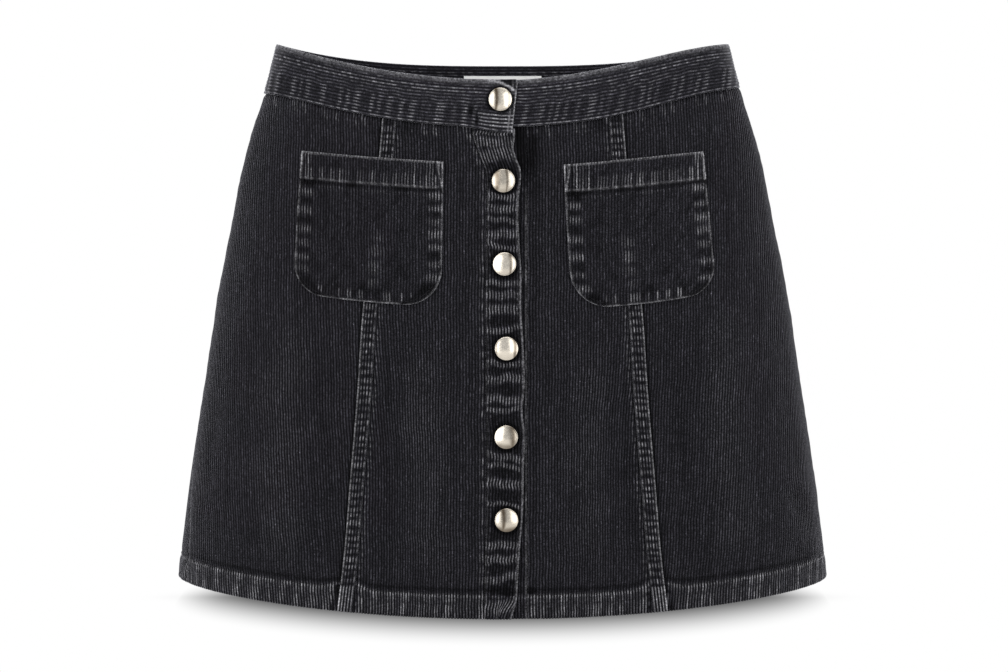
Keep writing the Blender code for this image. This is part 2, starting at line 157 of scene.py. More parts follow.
POCKET_TOP_FALL = {-1: (0.1570, 0.1618, 0.1730), 1: (0.1643, 0.1705, 0.1808)}
POCKET_LOW_FALL = {-1: (0.4230, 0.4265, 0.4280), 1: (0.4270, 0.4310, 0.4295)}
POCKET_BAND = 0.190
POCKET_BAND_LIFT = 0.9 * MM
POCKET_BAND_EDGE = 0.5 * MM
POCKET_INNER_CORNER = 0.0255
POCKET_OUTER_CORNER = 0.0200
# Rows of dashes beside a pocket's outer and inner edge, as shares of its height.
POCKET_DASHES = {
    -1: ((0.28, 0.41, 0.54, 0.64, 0.74, 0.82), (0.24, 0.33, 0.42, 0.51, 0.60, 0.72, 0.81)),
    1: ((0.24, 0.355, 0.45, 0.54, 0.64, 0.765, 0.88), (0.29, 0.39, 0.525, 0.65, 0.775, 0.87)),
}
SNAPS = [
    # across, fall
    (-0.0016, 0.0380),
    (0.0006, 0.1892),
    (0.0014, 0.3437),
    (0.0027, 0.4996),
    (0.0026, 0.6631),
    (0.0027, 0.8160),
]
LABEL_HALF_WIDTH = 0.0287
LABEL_TOP_FALL = 0.019
LABEL_LOW_FALL = 0.078
LABEL_WALL = 1.0 * MM

# ---- corduroy -------------------------------------------------------------------
WALE = 2.12 * MM
WALE_COLUMNS = (0.0, 0.3, 0.5, 0.7)  # shares of a wale: its valley, shoulder, crest, shoulder
CREST = 0.15 * MM
VALLEY = -0.35 * MM
BAND_WALES = 14              # up one face of the waistband, where they run along it
ROLL_WALES = 2               # over its folded top edge
SEAM_ALLOWANCE = 12.0 * MM
HEM_TURN = 25.0 * MM
SHARP_ANGLE = math.radians(50.0)

# ---- folds and puckers ------------------------------------------------------------
RIGHT_FRONT_SHADE = (0.0190, 0.950)   # across and fall of painted shade spots at the opening's foot
# FOOT_SHADE: across and fall of a painted shade spot by the button band's curled foot
FOOT_SHADE = (0.0040, 0.953)
SEAM_PUCKER = 5.1 * MM       # pitch of the cross puckers along the princess seams
WAIST_PUCKER = 8.0 * MM      # under the waistband
HEM_PUCKER = 11.0 * MM       # round the hem
HEM_DRAG = 0.011             # how far a lap draws the hem's stitching up, in fall
POCKET_PUCKER = 9.0 * MM     # inside a pocket's edge
BAND_PUCKER = 7.3 * MM       # along the waistband's lower part
SIDE_LEAN = 0.020            # how the side panels' wales lean to the centre, going down
SIDE_LEAN_FALL = 0.25
FRONT_LEAN = 7.0 * MM        # and the front panels' wales beside their laps
LAP_OFFSET = 0.35            # share of a wale cut off at the lap's edge
STITCH_ROWS = (1.7 * MM, 8.1 * MM)  # inside the lap's edge
TUCK = 3.0 * MM              # how far cloth runs up behind the waistband
RIM_EDGE = 0.3               # how much of a panel's lit edge goes round onto its turned-in side
REACH = 1.5 * MM             # how far a wrong side runs under its neighbours
BACKING_TOP = 0.078          # the fall at which the wrong sides start, behind the waistband
BACKING_TUCK = 0.25 * MM     # keeps overlapping wrong sides apart

# Folds across the button placket: falls of their crests, with their tilt and height.
PLACKET_RIDGES = [
    # fall, tilt (fall per metre to the right), height in mm, half length in fall
    (0.102, 0.10, 0.4, 0.0035),
    (0.117, -0.10, 0.6, 0.0100),
    (0.139, -0.30, 0.7, 0.0130),
    (0.218, 0.05, 0.8, 0.0085),
    (0.240, 0.05, 0.9, 0.0080),
    (0.262, 0.40, 0.5, 0.0050),
    (0.288, -0.20, 1.0, 0.0085),
    (0.312, 0.60, 0.8, 0.0060),
    (0.379, -0.10, 0.9, 0.0060),
    (0.401, 0.20, 0.8, 0.0080),
    (0.427, -0.15, 0.9, 0.0095),
    (0.465, -0.30, 0.8, 0.0060),
    (0.528, 0.00, 0.8, 0.0060),
    (0.556, -0.10, 1.0, 0.0085),
    (0.594, 0.25, 0.9, 0.0080),
    (0.613, -0.10, 0.6, 0.0050),
    (0.699, 0.55, 0.9, 0.0070),
    (0.716, 0.35, 0.6, 0.0050),
    (0.749, 0.30, 1.0, 0.0090),
    (0.787, 0.40, 0.6, 0.0040),
    (0.863, 0.15, 0.9, 0.0080),
    (0.888, -0.15, 0.9, 0.0080),
    (0.923, -0.55, 0.9, 0.0075),
    (0.976, -0.45, 0.8, 0.0130),
]

# Soft creases in the panels: two ends, then half width and height in mm (below 0 a trough).
CREASES = [
    # across, fall,   across, fall,   half width, height
    (0.019, 0.095, 0.021, 0.235, 5.5, -1.5),
    (0.030, 0.100, 0.040, 0.200, 8.0, 0.5),
    (-0.027, 0.100, -0.017, 0.185, 3.0, -0.8),
    (-0.034, 0.105, -0.024, 0.170, 3.5, 0.6),
    (-0.048, 0.100, -0.036, 0.200, 7.0, -0.5),
    (-0.016, 0.190, -0.016, 0.330, 3.0, -0.6),
    (0.022, 0.260, 0.021, 0.520, 4.0, -0.7),
    (0.022, 0.540, 0.022, 0.930, 4.5, -0.6),
    (-0.018, 0.420, -0.019, 0.950, 4.5, -0.5),
    (-0.060, 0.440, -0.048, 0.980, 15.0, 0.9),
    (-0.082, 0.460, -0.078, 0.960, 9.0, -0.7),
    (0.058, 0.450, 0.064, 0.990, 16.0, 0.8),
    (0.088, 0.480, 0.090, 0.950, 9.0, -0.7),
    (-0.150, 0.420, -0.158, 0.980, 20.0, 1.1),
    (0.152, 0.400, 0.166, 0.980, 20.0, 1.0),
    (-0.121, 0.440, -0.128, 0.960, 10.0, -0.8),
    (0.122, 0.440, 0.130, 0.970, 10.0, -0.8),
    (0.205, 0.800, 0.222, 0.900, 7.0, -0.9),
    (0.208, 0.880, 0.228, 0.955, 6.0, 0.8),
]
# The same at the back, by distance from the centre back.
BACK_CREASES = [
    (0.000, 0.120, 0.004, 0.420, 22.0, -1.0),
    (-0.070, 0.110, -0.082, 0.480, 18.0, 1.0),
    (0.064, 0.100, 0.086, 0.420, 16.0, 0.9),
    (-0.120, 0.300, -0.150, 0.980, 24.0, -1.3),
    (0.118, 0.360, 0.140, 0.980, 22.0, -1.2),
    (-0.052, 0.500, -0.060, 0.990, 22.0, 1.3),
    (0.046, 0.450, 0.060, 0.980, 24.0, 1.4),
    (0.004, 0.520, -0.004, 0.990, 18.0, -1.0),
    (-0.190, 0.420, -0.205, 0.980, 18.0, 0.9),
    (0.186, 0.400, 0.206, 0.970, 18.0, 0.9),
    (-0.150, 0.105, -0.130, 0.260, 9.0, -0.8),
    (0.154, 0.105, 0.128, 0.230, 9.0, -0.8),
]

# ---- snaps ------------------------------------------------------------------------
SNAP_SIDES = 64
SNAP_PROFILE = [
    # radius, height, both in millimetres
    (7.70, 0.00),
    (8.10, 0.25),
    (8.25, 0.75),
    (8.18, 1.25),
    (7.95, 1.60),
    (7.65, 1.74),
    (7.35, 1.70),
    (7.10, 1.78),
]
SNAP_DOME = (6.5, 5.8, 5.0, 4.2, 3.4, 2.6, 1.8, 0.9, 0.0)
SNAP_PROFILE += [(radius, 2.80 - 1.02 * (radius / 7.1) ** 2) for radius in SNAP_DOME]
SNAP_RADIUS = 8.25 * MM
SNAP_SHARP_ANGLE = math.radians(60.0)
# Brown reflections painted on each cap: streaks (place across in radii, half width, strength), low edge, all
# over.
SNAP_REFLECTIONS = [
    ([(-0.30, 0.19, 1.00), (0.74, 0.07, 0.70)], 0.25, 0.0),
    ([(-0.50, 0.34, 0.85), (0.34, 0.12, 0.85)], 0.50, 0.27),
    ([(0.56, 0.14, 0.80)], 0.25, 0.0),
    ([(-0.82, 0.08, 0.60), (0.72, 0.16, 0.85)], 0.20, 0.0),
    ([(0.60, 0.34, 0.85)], 0.75, 0.10),
    ([(-0.22, 0.24, 0.95)], 0.85, 0.26),
]
SNAP_TILTS = [(2.5, -1.0), (-1.0, 2.0), (-3.5, -1.5), (3.0, 1.5), (-4.0, 0.0), (1.5, -2.5)]  # degrees

# ---- thread -----------------------------------------------------------------------
STITCH = 2.7 * MM
STITCH_SPACE = 0.7 * MM
THREAD = 0.20 * MM           # half the thread's thickness
THREAD_SIDES = 5
STITCH_STATIONS = [
    # share of its length, rise and thickness in threads
    (-0.50, -0.90, 0.3),
    (-0.40, 0.10, 0.9),
    (0.00, 0.75, 1.0),
    (0.40, 0.10, 0.9),
    (0.50, -0.90, 0.3),
]
HEM_STITCH_ENDS = (-13.5 * MM, 18.5 * MM)   # across, at the button band and at the right front's edge

# ---- camera, floor and light --------------------------------------------------------
CAMERA_PLACE = (0.001, -1.714, -0.051)
CAMERA_TARGET = (0.001, 0.0, -0.1925)
CAMERA_LENS = 85.0
FLOOR_Z = -0.3835
FLOOR_FADE = (0.094, -0.035)  # distances from its curve at which the floor's shade ends and is full
FLOOR_SIDE = (0.285, 0.198)  # and distances from the middle
FLOOR_DARK = 0.95
FLOOR_HALF = 8.0
FLOOR_SOFT = 0.00004          # square metres, rounds the shade's turn at the middle
FLOOR_CLEAR = (0.013, 0.050)  # how far the curve draws in from the hem's oval, in the middle and at the sides
LIGHT_TARGET = (0.0, 0.0, -0.18)
SOFTBOXES = [
    # name, place, size, power
    ("softbox_left", (-1.15, -1.55, 0.25), (1.3, 2.2), 22.0),
    ("softbox_right", (1.15, -1.55, 0.15), (1.3, 2.2), 18.0),
    ("softbox_top", (0.0, -0.5, 1.7), (1.8, 1.2), 16.0),
    ("strip_left", (-1.25, 0.8, -0.1), (0.5, 1.6), 42.0),
    ("strip_right", (1.25, 0.8, -0.1), (0.5, 1.6), 42.0),
]
ROOM_COLOR = (0.95, 0.97, 1.0, 1.0)
ROOM_STRENGTH = 0.55


# ---- the skin -------------------------------------------------------------------
def curve_through(table, at, column):
    """Read one column of a table on a smooth curve through its rows."""
    places, values = (np.array([row[k] for row in table]) for k in (0, column))
    slopes = np.gradient(values, places)
    i = np.clip(np.searchsorted(places, at, side="right") - 1, 0, len(places) - 2)
    span = places[i + 1] - places[i]
    s = (at - places[i]) / span
    start = (2 * s**3 - 3 * s**2 + 1) * values[i] + (s**3 - 2 * s**2 + s) * span * slopes[i]
    end = (3 * s**2 - 2 * s**3) * values[i + 1] + (s**3 - s**2) * span * slopes[i + 1]
    return start + end


def blend(value, low, high):
    """Rise smoothly from 0 at low to 1 at high."""
    s = np.clip((value - low) / (high - low), 0.0, 1.0)
    return s * s * (3 - 2 * s)


def mix(a, b, share):
    return a + (b - a) * share


def bow_through(values, share):
    """The parabola through three values, at shares 0, a half and 1."""
    start, middle, end = values
    return mix(start, end, share) + (4 * middle - 2 * start - 2 * end) * share * (1 - share)


def oval(fall):
    return curve_through(LEVELS, fall, 1), curve_through(LEVELS, fall, 2)


def angle_at(across, fall):
    return np.arcsin(across / oval(fall)[0])


def across_of(angle, fall):
    return oval(fall)[0] * np.sin(angle)


def distance_to(place, across, fall):
    """The distance to a place on the front, given as (across, fall)."""
    return np.hypot(across - place[0], (fall - place[1]) * SIDE_LENGTH)


def skin_point(angle, fall):
    half_width, half_depth = oval(fall)
    side_share = np.abs(np.sin(angle))
    front = mix(*FRONT_DIP, fall) * (1 - side_share**2)
    back = mix(*BACK_DIP, fall) * (1 - side_share**3)
    rise = RIGHT_RISE * np.sin(2 * angle) ** 2 * (1 - blend(fall, 0.0, RIGHT_RISE_FALL))
    z = WAIST_EDGE_Z - SIDE_LENGTH * fall - np.where(np.cos(angle) >= 0, front, back)
    z = z + np.where((angle > 0) & (angle < QUARTER), rise, 0.0)
    return np.stack([half_width * np.sin(angle), -half_depth * np.cos(angle), z], -1)


def skin(angle, fall):
    """Points on the skin and the normals there."""
    step = 1e-4
    round_it = skin_point(angle + step, fall) - skin_point(angle - step, fall)
    down_it = skin_point(angle, fall + step) - skin_point(angle, fall - step)
    normal = np.cross(down_it, round_it)
    return skin_point(angle, fall), normal / np.linalg.norm(normal, axis=-1, keepdims=True)


# Arc lengths round ovals of half width 1, at three ratios of depth to width.
OVAL_RATIOS = (0.31, 0.36, 0.41)
OVAL_ANGLES = np.linspace(-math.pi, 2 * math.pi, 3001)


def unit_arcs(ratio):
    speed = np.sqrt(np.cos(OVAL_ANGLES) ** 2 + (ratio * np.sin(OVAL_ANGLES)) ** 2)
    steps = (speed[1:] + speed[:-1]) / 2 * np.diff(OVAL_ANGLES)
    arcs = np.concatenate([[0.0], np.cumsum(steps)])
    return arcs - np.interp(0.0, OVAL_ANGLES, arcs)


UNIT_ARCS = [unit_arcs(ratio) for ratio in OVAL_RATIOS]


def between_ratios(values, ratio):
    """The quadratic through three values that belong to OVAL_RATIOS."""
    a, b, c = OVAL_RATIOS
    return (values[0] * (ratio - b) * (ratio - c) / ((a - b) * (a - c))
            + values[1] * (ratio - a) * (ratio - c) / ((b - a) * (b - c))
            + values[2] * (ratio - a) * (ratio - b) / ((c - a) * (c - b)))


def arc_of(angle, fall):
    half_width, half_depth = oval(fall)
    arcs = [np.interp(angle, OVAL_ANGLES, table) for table in UNIT_ARCS]
    return half_width * between_ratios(arcs, half_depth / half_width)


def angle_of(arc, fall):
    half_width, half_depth = oval(fall)
    angles = [np.interp(arc / half_width, table, OVAL_ANGLES) for table in UNIT_ARCS]
    return between_ratios(angles, half_depth / half_width)


def arc_across(across, fall):
    return arc_of(angle_at(across, fall), fall)


# An edge is a function that gives its arc for a fall.
def edge_at_angle(angle):
    return lambda fall: arc_of(angle, fall)


def edge_at_across(across):
    return lambda fall: arc_across(across, fall)


def placket_edge(column):
    return lambda fall: arc_across(curve_through(PLACKET_EDGES, fall, column), fall)


def side_seam(side, fall):
    """The angle of a side seam. The left one swings forward near the hem."""
    return QUARTER - (LEFT_SEAM_SWING * blend(fall, *LEFT_SEAM_SWING_SPAN) if side < 0 else 0.0)


def side_edge(side, way):
    """The edge at a side seam of the panel behind it (way 1) or in front of it (-1)."""
    def edge(fall):
        angle = side * (side_seam(side, fall) + way * SEAM_GAP / 2 / oval(fall)[1])
        return arc_of(angle % (2 * math.pi) if way > 0 else angle, fall)
    return edge


def seam_across(fall):
    return curve_through(SEAM_LINE, fall, 1)


def band_low(angle):
    """The fall of the waistband's lower edge. At the back it runs straight across."""
    half_width = oval(BAND_FALL)[0]
    front = curve_through(BAND_LOW, half_width * np.sin(angle), 1)
    left, right = (curve_through(BAND_LOW, side * half_width, 1) for side in SIDES)
    return np.where(np.cos(angle) >= 0, front, mix(left, right, 0.5 + 0.5 * np.sin(angle)))


def tab_low(angle):
    """The same on the left front, where it droops at the tab."""
    return band_low(angle) + TAB_DROOP * blend(across_of(angle, BAND_FALL), *TAB_DROOP_SPAN)


# ---- uneven patterns --------------------------------------------------------------
def chance(number, seed):
    """A fixed number from 0 to 1 for each whole number."""
    wild = np.sin(np.floor(number) * 12.9898 + seed * 78.233) * 43758.5453
    return wild - np.floor(wild)


def cell_chance(wale, row, seed):
    """A fixed number from 0 to 1 for each row of each wale."""
    return chance(np.floor(wale) + 57.0 * row, seed)


def waver(x, length, seed):
    """A smooth uneven wave from about -1 to 1."""
    turn = 2 * math.pi * x / length
    wave = np.sin(turn + 1.7 * seed) + 0.6 * np.sin(1.73 * turn + 5.1 * seed)
    return (wave + 0.5 * np.sin(0.61 * turn + 3.3 * seed)) / 1.7


def ridges(x, pitch, seed, uneven=0.30):
    """Uneven ridges: 1 on a crest, 0 in a trough."""
    phase = x / pitch + uneven * waver(x, 4.3 * pitch, seed)
    lively = 0.65 + 0.35 * waver(x, 2.9 * pitch, seed + 2.0)
    return (0.5 + 0.5 * np.cos(2 * math.pi * phase)) * lively


def dashes(x, pitch, wale, seed, cover=0.55, least=0.3, uneven=0.10):
    """Dashes of rubbed pile along each wale, every one with its own strength."""
    phase = x / pitch + uneven * waver(x, 4.3 * pitch, seed)
    middle = np.floor(phase + 0.5)
    shape = 1 - blend(np.abs(phase - middle) * 2, cover - 0.3, cover + 0.3)
    return shape * mix(least, 1.0, cell_chance(wale, middle, seed))


def near(value, centre, width):
    """1 at the centre, fading to 0 about two widths away."""
    return np.exp(-(((value - centre) / width) ** 2))


def stripe(distance, centre, width):
    """The same, with the centre and the width in millimetres."""
    return near(distance, centre * MM, width * MM)


def window(value, low, high, soft):
    return blend(value, low - soft, low) * (1 - blend(value, high, high + soft))


def wale_height(wale):
    """A round crest between narrow valleys, which lie at whole numbers."""
    x = np.abs(wale - np.floor(wale) - 0.5) * 2
    return mix(VALLEY, CREST, (1 - x**2.6) ** 0.6)


# ---- meshes -----------------------------------------------------------------------
def new_object(name, data):
    """A mesh, a camera or a light as an object of the scene."""
    obj = bpy.data.objects.new(name, data)
    bpy.context.scene.collection.objects.link(obj)
    return obj


def new_piece(name, mesh, material, marks, sharp_angle, place=Matrix.Identity(4)):
    """A mesh as a smooth piece of the skirt, with the marks that its material reads."""
    for mark, values in marks.items():
        stored = mesh.attributes.new(mark, "FLOAT", "POINT")
        stored.data.foreach_set("value", values.astype(np.float32))
    mesh.materials.append(material)
    mesh.shade_smooth()
    mesh.set_sharp_from_angle(angle=sharp_angle)
    obj = new_object(name, mesh)
    obj.matrix_world = place
    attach(obj, "root")
    return obj


class Cloth:
    """A sheet in the making: its points with their normals and marks, and its faces."""

    def __init__(self):
        self.point = np.zeros((0, 3))
        self.normal = np.zeros((0, 3))
        self.marks = np.zeros((0, len(MARKS)))
        self.faces = []                 # arrays of three or four vertex numbers a row

    def add(self, point, normal, marks):
        first = len(self.point)
        self.point = np.concatenate([self.point, point])
        self.normal = np.concatenate([self.normal, normal])
        self.marks = np.concatenate([self.marks, marks])
        return first

    def grid(self, angle, fall, out, *marks, index=None):
        """Lay a grid on the skin. index numbers its vertices from 0, some of them shared."""
        if index is None:
            index = np.arange(angle.size).reshape(angle.shape)
        where = np.unique(index, return_index=True)[1]
        angle, fall, out, *marks = (np.broadcast_to(value, index.shape).ravel()[where]
                                    for value in (angle, fall, out, *marks))
        point, normal = skin(angle, fall)
        index = index + self.add(point + normal * out[:, None], normal, np.stack(marks, -1))
        self.fill(index)
        return index

    def fill(self, index):
        """Faces between rows of vertex numbers; a cell shrunk to a line drops out."""
        a, b, c, d = index[:-1, :-1], index[:-1, 1:], index[1:, 1:], index[1:, :-1]
        cells = np.stack([a, d, c, b], -1).reshape(-1, 4)
        top, low = cells[:, 0] == cells[:, 3], cells[:, 1] == cells[:, 2]
        self.faces += [cells[~top & ~low], cells[top & ~low][:, :3], cells[low & ~top][:, [0, 1, 3]]]

    def rim(self, chain, depth, edge=1.0):
        """Turn the edge along a chain of vertices inwards by a depth."""
        chain = chain[np.append(True, chain[1:] != chain[:-1])]
        depth = np.broadcast_to(depth, len(self.point))[chain]
        point = self.point[chain] - self.normal[chain] * depth[:, None]
        first = self.add(point, self.normal[chain], self.marks[chain] * (1, 1, 1, edge))
        low = first + np.arange(len(chain))
        self.faces.append(np.stack([chain[:-1], low[:-1], low[1:], chain[1:]], -1))

    def build(self, name, material):
        loops = np.concatenate([rows.ravel() for rows in self.faces])
        sizes = np.concatenate([np.full(len(rows), rows.shape[1]) for rows in self.faces])
        mesh = bpy.data.meshes.new(name)
        mesh.vertices.add(len(self.point))
        mesh.vertices.foreach_set("co", self.point.ravel().astype(np.float32))
        mesh.loops.add(len(loops))
        mesh.loops.foreach_set("vertex_index", loops.astype(np.int32))
        mesh.polygons.add(len(sizes))
        mesh.polygons.foreach_set("loop_start", (np.cumsum(sizes) - sizes).astype(np.int32))
        mesh.update(calc_edges=True)
        mesh.validate()
        return new_piece(name, mesh, material, dict(zip(MARKS, self.marks.T)), SHARP_ANGLE)


def wale_steps(first, last):
    """The columns of the wales from one whole number up to another, counted in wales."""
    return (np.arange(first, last)[:, None] + np.array(WALE_COLUMNS)).ravel()


def wale_columns(low, high):
    """The columns of the wales between two places, in metres."""
    return wale_steps(math.floor(low / WALE), math.ceil(high / WALE) + 1) * WALE


def spaced(*spans):
    """Rows down a piece: (length, step) pairs in metres, joined end to end."""
    rows = [0.0]
    for length, step in spans:
        count = max(1, round(length / step))
        rows += [rows[-1] + length * (i + 1) / count for i in range(count)]
    return np.array(rows)


def trim(columns, slip, low, high):
    """Cut columns that slip sideways at two edges. Gives the arcs, the wales, the
    numbering of the vertices, where all columns beyond an edge share one vertex a
    row, and the function that takes other values of the same vertices."""
    arc = columns + slip
    count = arc.shape[1]
    every = np.arange(count)[None, :]
    first = np.maximum((arc <= low).sum(1) - 1, 0)[:, None]
    last = np.minimum(count - (arc >= high).sum(1), count - 1)[:, None]
    column = np.clip(every, first, last)
    index = np.cumsum(column == every).reshape(arc.shape) - 1

    def take(values):
        return np.take_along_axis(values, column, 1)

    arc = take(np.clip(arc, low, high))
    return arc, (arc - take(slip)) / WALE, take(index), take


def border(index):
    """The vertices up one side of a grid, over its top and down the other side."""
    return np.concatenate([index[::-1, -1], index[0, ::-1], index[:, 0]])


# ---- what happens on the cloth ------------------------------------------------------
# A relief gives three things that can be added up: how far the cloth stands out, its
# wear and shade (rubbed above 0; below 0 mostly painted shade, a few dull patches) and its lit edges, painted
# light.
def surface(out, wear_and_shade, edge=0.0):
    return np.stack(np.broadcast_arrays(out, wear_and_shade, edge))


def creases(table, across, fall):
    """Soft troughs and ridges along listed lines: their height."""
    out = np.zeros(np.shape(across))
    for x0, f0, x1, f1, width, height in table:
        run = np.array([x1 - x0, (f1 - f0) * SIDE_LENGTH])
        length = np.hypot(*run)
        dx, dy = across - x0, (fall - f0) * SIDE_LENGTH
        along = (dx * run[0] + dy * run[1]) / length
        aside = (dx * run[1] - dy * run[0]) / length
        aside = aside + 0.25 * width * MM * waver(along, 0.6 * length, width)
        ends = window(along, 0.25 * length, 0.75 * length, 0.3 * length)
        out += height * MM * stripe(aside, 0.0, width) * ends
    return out


def front_form(arc, angle, fall, seed):
    """The creases and the slow unevenness of the front and side panels: their height."""
    slow = waver(arc + 0.4 * fall, 0.085, seed) * waver(fall * SIDE_LENGTH, 0.11, seed + 1.3)
    return creases(CREASES, across_of(angle, fall), fall) + 0.45 * MM * slow


def creased(height):
    """Cloth is painted a little lighter on a soft ridge and darker in a trough, as painted light and shade.
    """
    ridge, trough = (blend(way * height, 0.1 * MM, 1.2 * MM) for way in (1, -1))
    return surface(height, 0.06 * ridge - 0.07 * trough)


def hem_relief(arc, wale, fall, seed, to_lap=1.0):
    """The turned hem: a groove at its stitching, drawn up beside a lap, and uneven puckers below it."""
    fall = fall + HEM_DRAG * stripe(to_lap, 0.0, 8.0) * near(fall, HEM_FALL, 0.03)
    down = fall * SIDE_LENGTH
    below = down - HEM_FALL * SIDE_LENGTH
    band = blend(fall, HEM_FALL - 0.004, HEM_FALL + 0.006)
    above = window(fall, HEM_FALL - 0.02, HEM_FALL - 0.004, 0.02)
    pucker = ridges(arc + 0.25 * below, HEM_PUCKER, seed)
    out = (0.55 * band + 0.25 * above) * (pucker - 0.5) + 0.35 * band - 0.5 * near(fall, HEM_FALL, 0.004)
    # lit: rubbed wales, painted lighter still on the puckers' crests
    lit = blend(0.70 * chance(wale, seed) + 0.75 * pucker, 0.48, 1.18)
    wear_and_shade = band * (0.75 * lit * dashes(down, 9.0 * MM, wale, seed, 0.8, 0.5, 0.0) + 0.09)
    wear_and_shade += 0.80 * stripe(below, 1.0, 0.9) * mix(0.2, 1.0, chance(wale, seed + 1))
    # painted shade: a line above the fold, and a strip beside a lap
    wear_and_shade -= 0.14 * near(fall, HEM_FALL - 0.009, 0.004) + 0.28 * band * stripe(to_lap, 2.6, 2.2)
    return surface(out * MM, wear_and_shade + 0.35 * blend(fall, 0.988, 0.996) * lit)


def waist_relief(arc, wale, fall, seam, seed):
    """Gathers just under the waistband, and the cloth drawn in behind it."""
    depth = np.maximum((fall - seam) * SIDE_LENGTH, 0.0)
    pucker = ridges(arc - 0.3 * depth, WAIST_PUCKER, seed)
    out = 0.55 * np.exp(-depth / (7.0 * MM)) * (pucker - 0.6) - 0.7 * stripe(depth, 0.0, 1.6)
    wear_and_shade = 0.45 * window(depth, 1.5 * MM, 6.0 * MM, 4.0 * MM) * blend(pucker, 0.25, 0.8)
    # a painted shadow in a line right under the waistband
    return surface(out * MM, wear_and_shade * dashes(depth, 3.4 * MM, wale, seed, 0.7) - 0.10 * stripe(depth, 0.0, 1.2))


def side_seam_relief(to_side, fall, seed):
    """Cloth drawn in at a side seam, with a lit line beside it."""
    pucker = ridges(fall * SIDE_LENGTH, 13.0 * MM, seed)
    out = 0.3 * stripe(to_side, 0.0, 7.0) * (pucker - 0.5) - 0.35 * stripe(to_side, 0.0, 1.2)
    wear_and_shade = 0.20 * stripe(to_side, 1.2, 1.8) * blend(pucker, 0.3, 0.9)
    return surface(out * MM, wear_and_shade, 0.18 * stripe(to_side, 0.0, 0.6))


# ---- panels -----------------------------------------------------------------------
# The arcs that the columns of each sheet cover, a little beyond its edges.
FRONT_SPAN = (0.0, 0.125)       # and the same to the left
SIDE_SPAN = (0.07, 0.29)
BACK_SPAN = (-0.31, 0.31)       # from the centre back
OVER_SPAN = (-0.020, 0.020)     # from the button band's middle
UNDER_SPAN = (-0.014, 0.020)
POCKET_SPAN = (0.036, 0.164)
# Added to the stored wales, so that these have other streaks than the panels.
LAP_SHIFT = 40.0
BAND_SHIFT = 100.0
POCKET_SHIFT = 0.37

HEM_CURL = np.radians([0.0, 35.0, 70.0, 110.0, 145.0, 180.0])
HEM_ROUND = HEM_WALL / 2
PANEL_LENGTHS = (0.015, 0.318, 0.022)   # under the waistband, down the panel and at the hem
BACKING_SHARES = np.append(np.linspace(0.0, 0.94, 16), [0.9505, 0.9515, 0.975, 0.996])[:, None]
CUT_LENGTH = SIDE_LENGTH * (1 - BAND_FALL) + SEAM_ALLOWANCE + HEM_TURN


def with_hem(metres):
    """Rows down to the hem's fold and round it: shares of the height, and the turn."""
    share = metres[:-1] / metres[-1]
    return (np.append(share, np.ones(len(HEM_CURL)))[:, None],
            np.append(np.zeros(len(share)), HEM_CURL)[:, None])


def hem_fold(top, share, turn):
    """Falls, and how far the cloth has turned under, for rows of with_hem."""
    radius = HEM_ROUND / SIDE_LENGTH
    return mix(top, 1.0 - radius, share) + radius * np.sin(turn), -HEM_ROUND * (1 - np.cos(turn))


def panel_rows(*steps):
    return with_hem(spaced(*zip(PANEL_LENGTHS, steps)))


FRONT_ROWS = panel_rows(1.2 * MM, 1.2 * MM, 1.1 * MM)
SIDE_ROWS = panel_rows(1.2 * MM, 2.4 * MM, 1.1 * MM)
BACK_ROWS = panel_rows(2.0 * MM, 5.3 * MM, 1.8 * MM)
OVER_ROWS = with_hem(spaced((0.333, 0.95 * MM), (0.018, 1.0 * MM)))
UNDER_ROWS = with_hem(spaced((0.333, 3.0 * MM), (0.020, 2.0 * MM)))


def lay_panel(name, columns, rows, centre, low, edges, drift, relief, cad_node, material,
              add_parts=lambda cloth: None):
    """A panel whose columns follow the wales, cut at two edges, with a folded hem.

    Its top follows the waistband's lower edge, low, where the column 0 is at the arc centre.
    """
    share, turn = rows
    top = low(angle_of(columns[None, :] + centre, BAND_FALL))
    fall, turned = hem_fold(top - TUCK / SIDE_LENGTH, share, turn)
    arc, wale, index, take = trim(columns, drift(columns, fall), *(edge(fall) for edge in edges))
    fall = take(fall)
    angle = angle_of(arc, fall)
    out, wear_and_shade, edge = relief(arc, wale, angle, fall)
    height = wale_height(wale)
    out = out + turned + height * np.cos(turn)
    fall = fall + height * np.sin(turn) / SIDE_LENGTH
    cloth = Cloth()
    index = cloth.grid(angle, fall, out, wale, fall * SIDE_LENGTH, wear_and_shade, edge, index=index)
    panel_rim(cloth, index, turn, CLOTH)
    add_parts(cloth)
    obj = cloth.build(name, material)
    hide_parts(cad_node)
    return obj


def panel_rim(cloth, index, turn, wall):
    """Turn in a panel's two sides, and its top edge a little."""
    deep = np.where(turn > 0, HEM_ROUND * (1 + np.cos(turn)) + 0.02 * MM, wall)
    deep[0] = SEAM_GAP
    depth = np.full(len(cloth.point), wall)
    depth[index] = np.broadcast_to(deep, index.shape)
    cloth.rim(border(index), depth, RIM_EDGE)


def lay_backing(name, edges, top, form, columns, material, reach=REACH, tuck=0.0):
    """The wrong side of a panel: a plain coarse face one thickness in, hem turned up.

    Its seam allowances reach a little way under its neighbours.
    """
    fall = mix(top, 1.0, BACKING_SHARES)
    low, high = (edge(fall) for edge in edges)
    arc = mix(low - reach, high + reach, np.linspace(1.0, 0.0, columns))
    angle = angle_of(arc, fall)
    out = form(arc, angle, fall) - np.where(fall > HEM_FALL, HEM_WALL, CLOTH) - tuck
    cloth = Cloth()
    cloth.grid(angle, fall, out, arc / WALE, fall * SIDE_LENGTH, 0.0, 0.0)
    obj = cloth.build(name, material)
    return obj


def declare_panel(edges):
    """Each panel is cut flat with seam allowances, and a deeper one at the hem."""
    low, high = (edge(np.array([BAND_FALL, 1.0])) for edge in edges)
    top, hem = high - low + 2 * SEAM_ALLOWANCE
    float(top + hem) / 2 * CUT_LENGTH


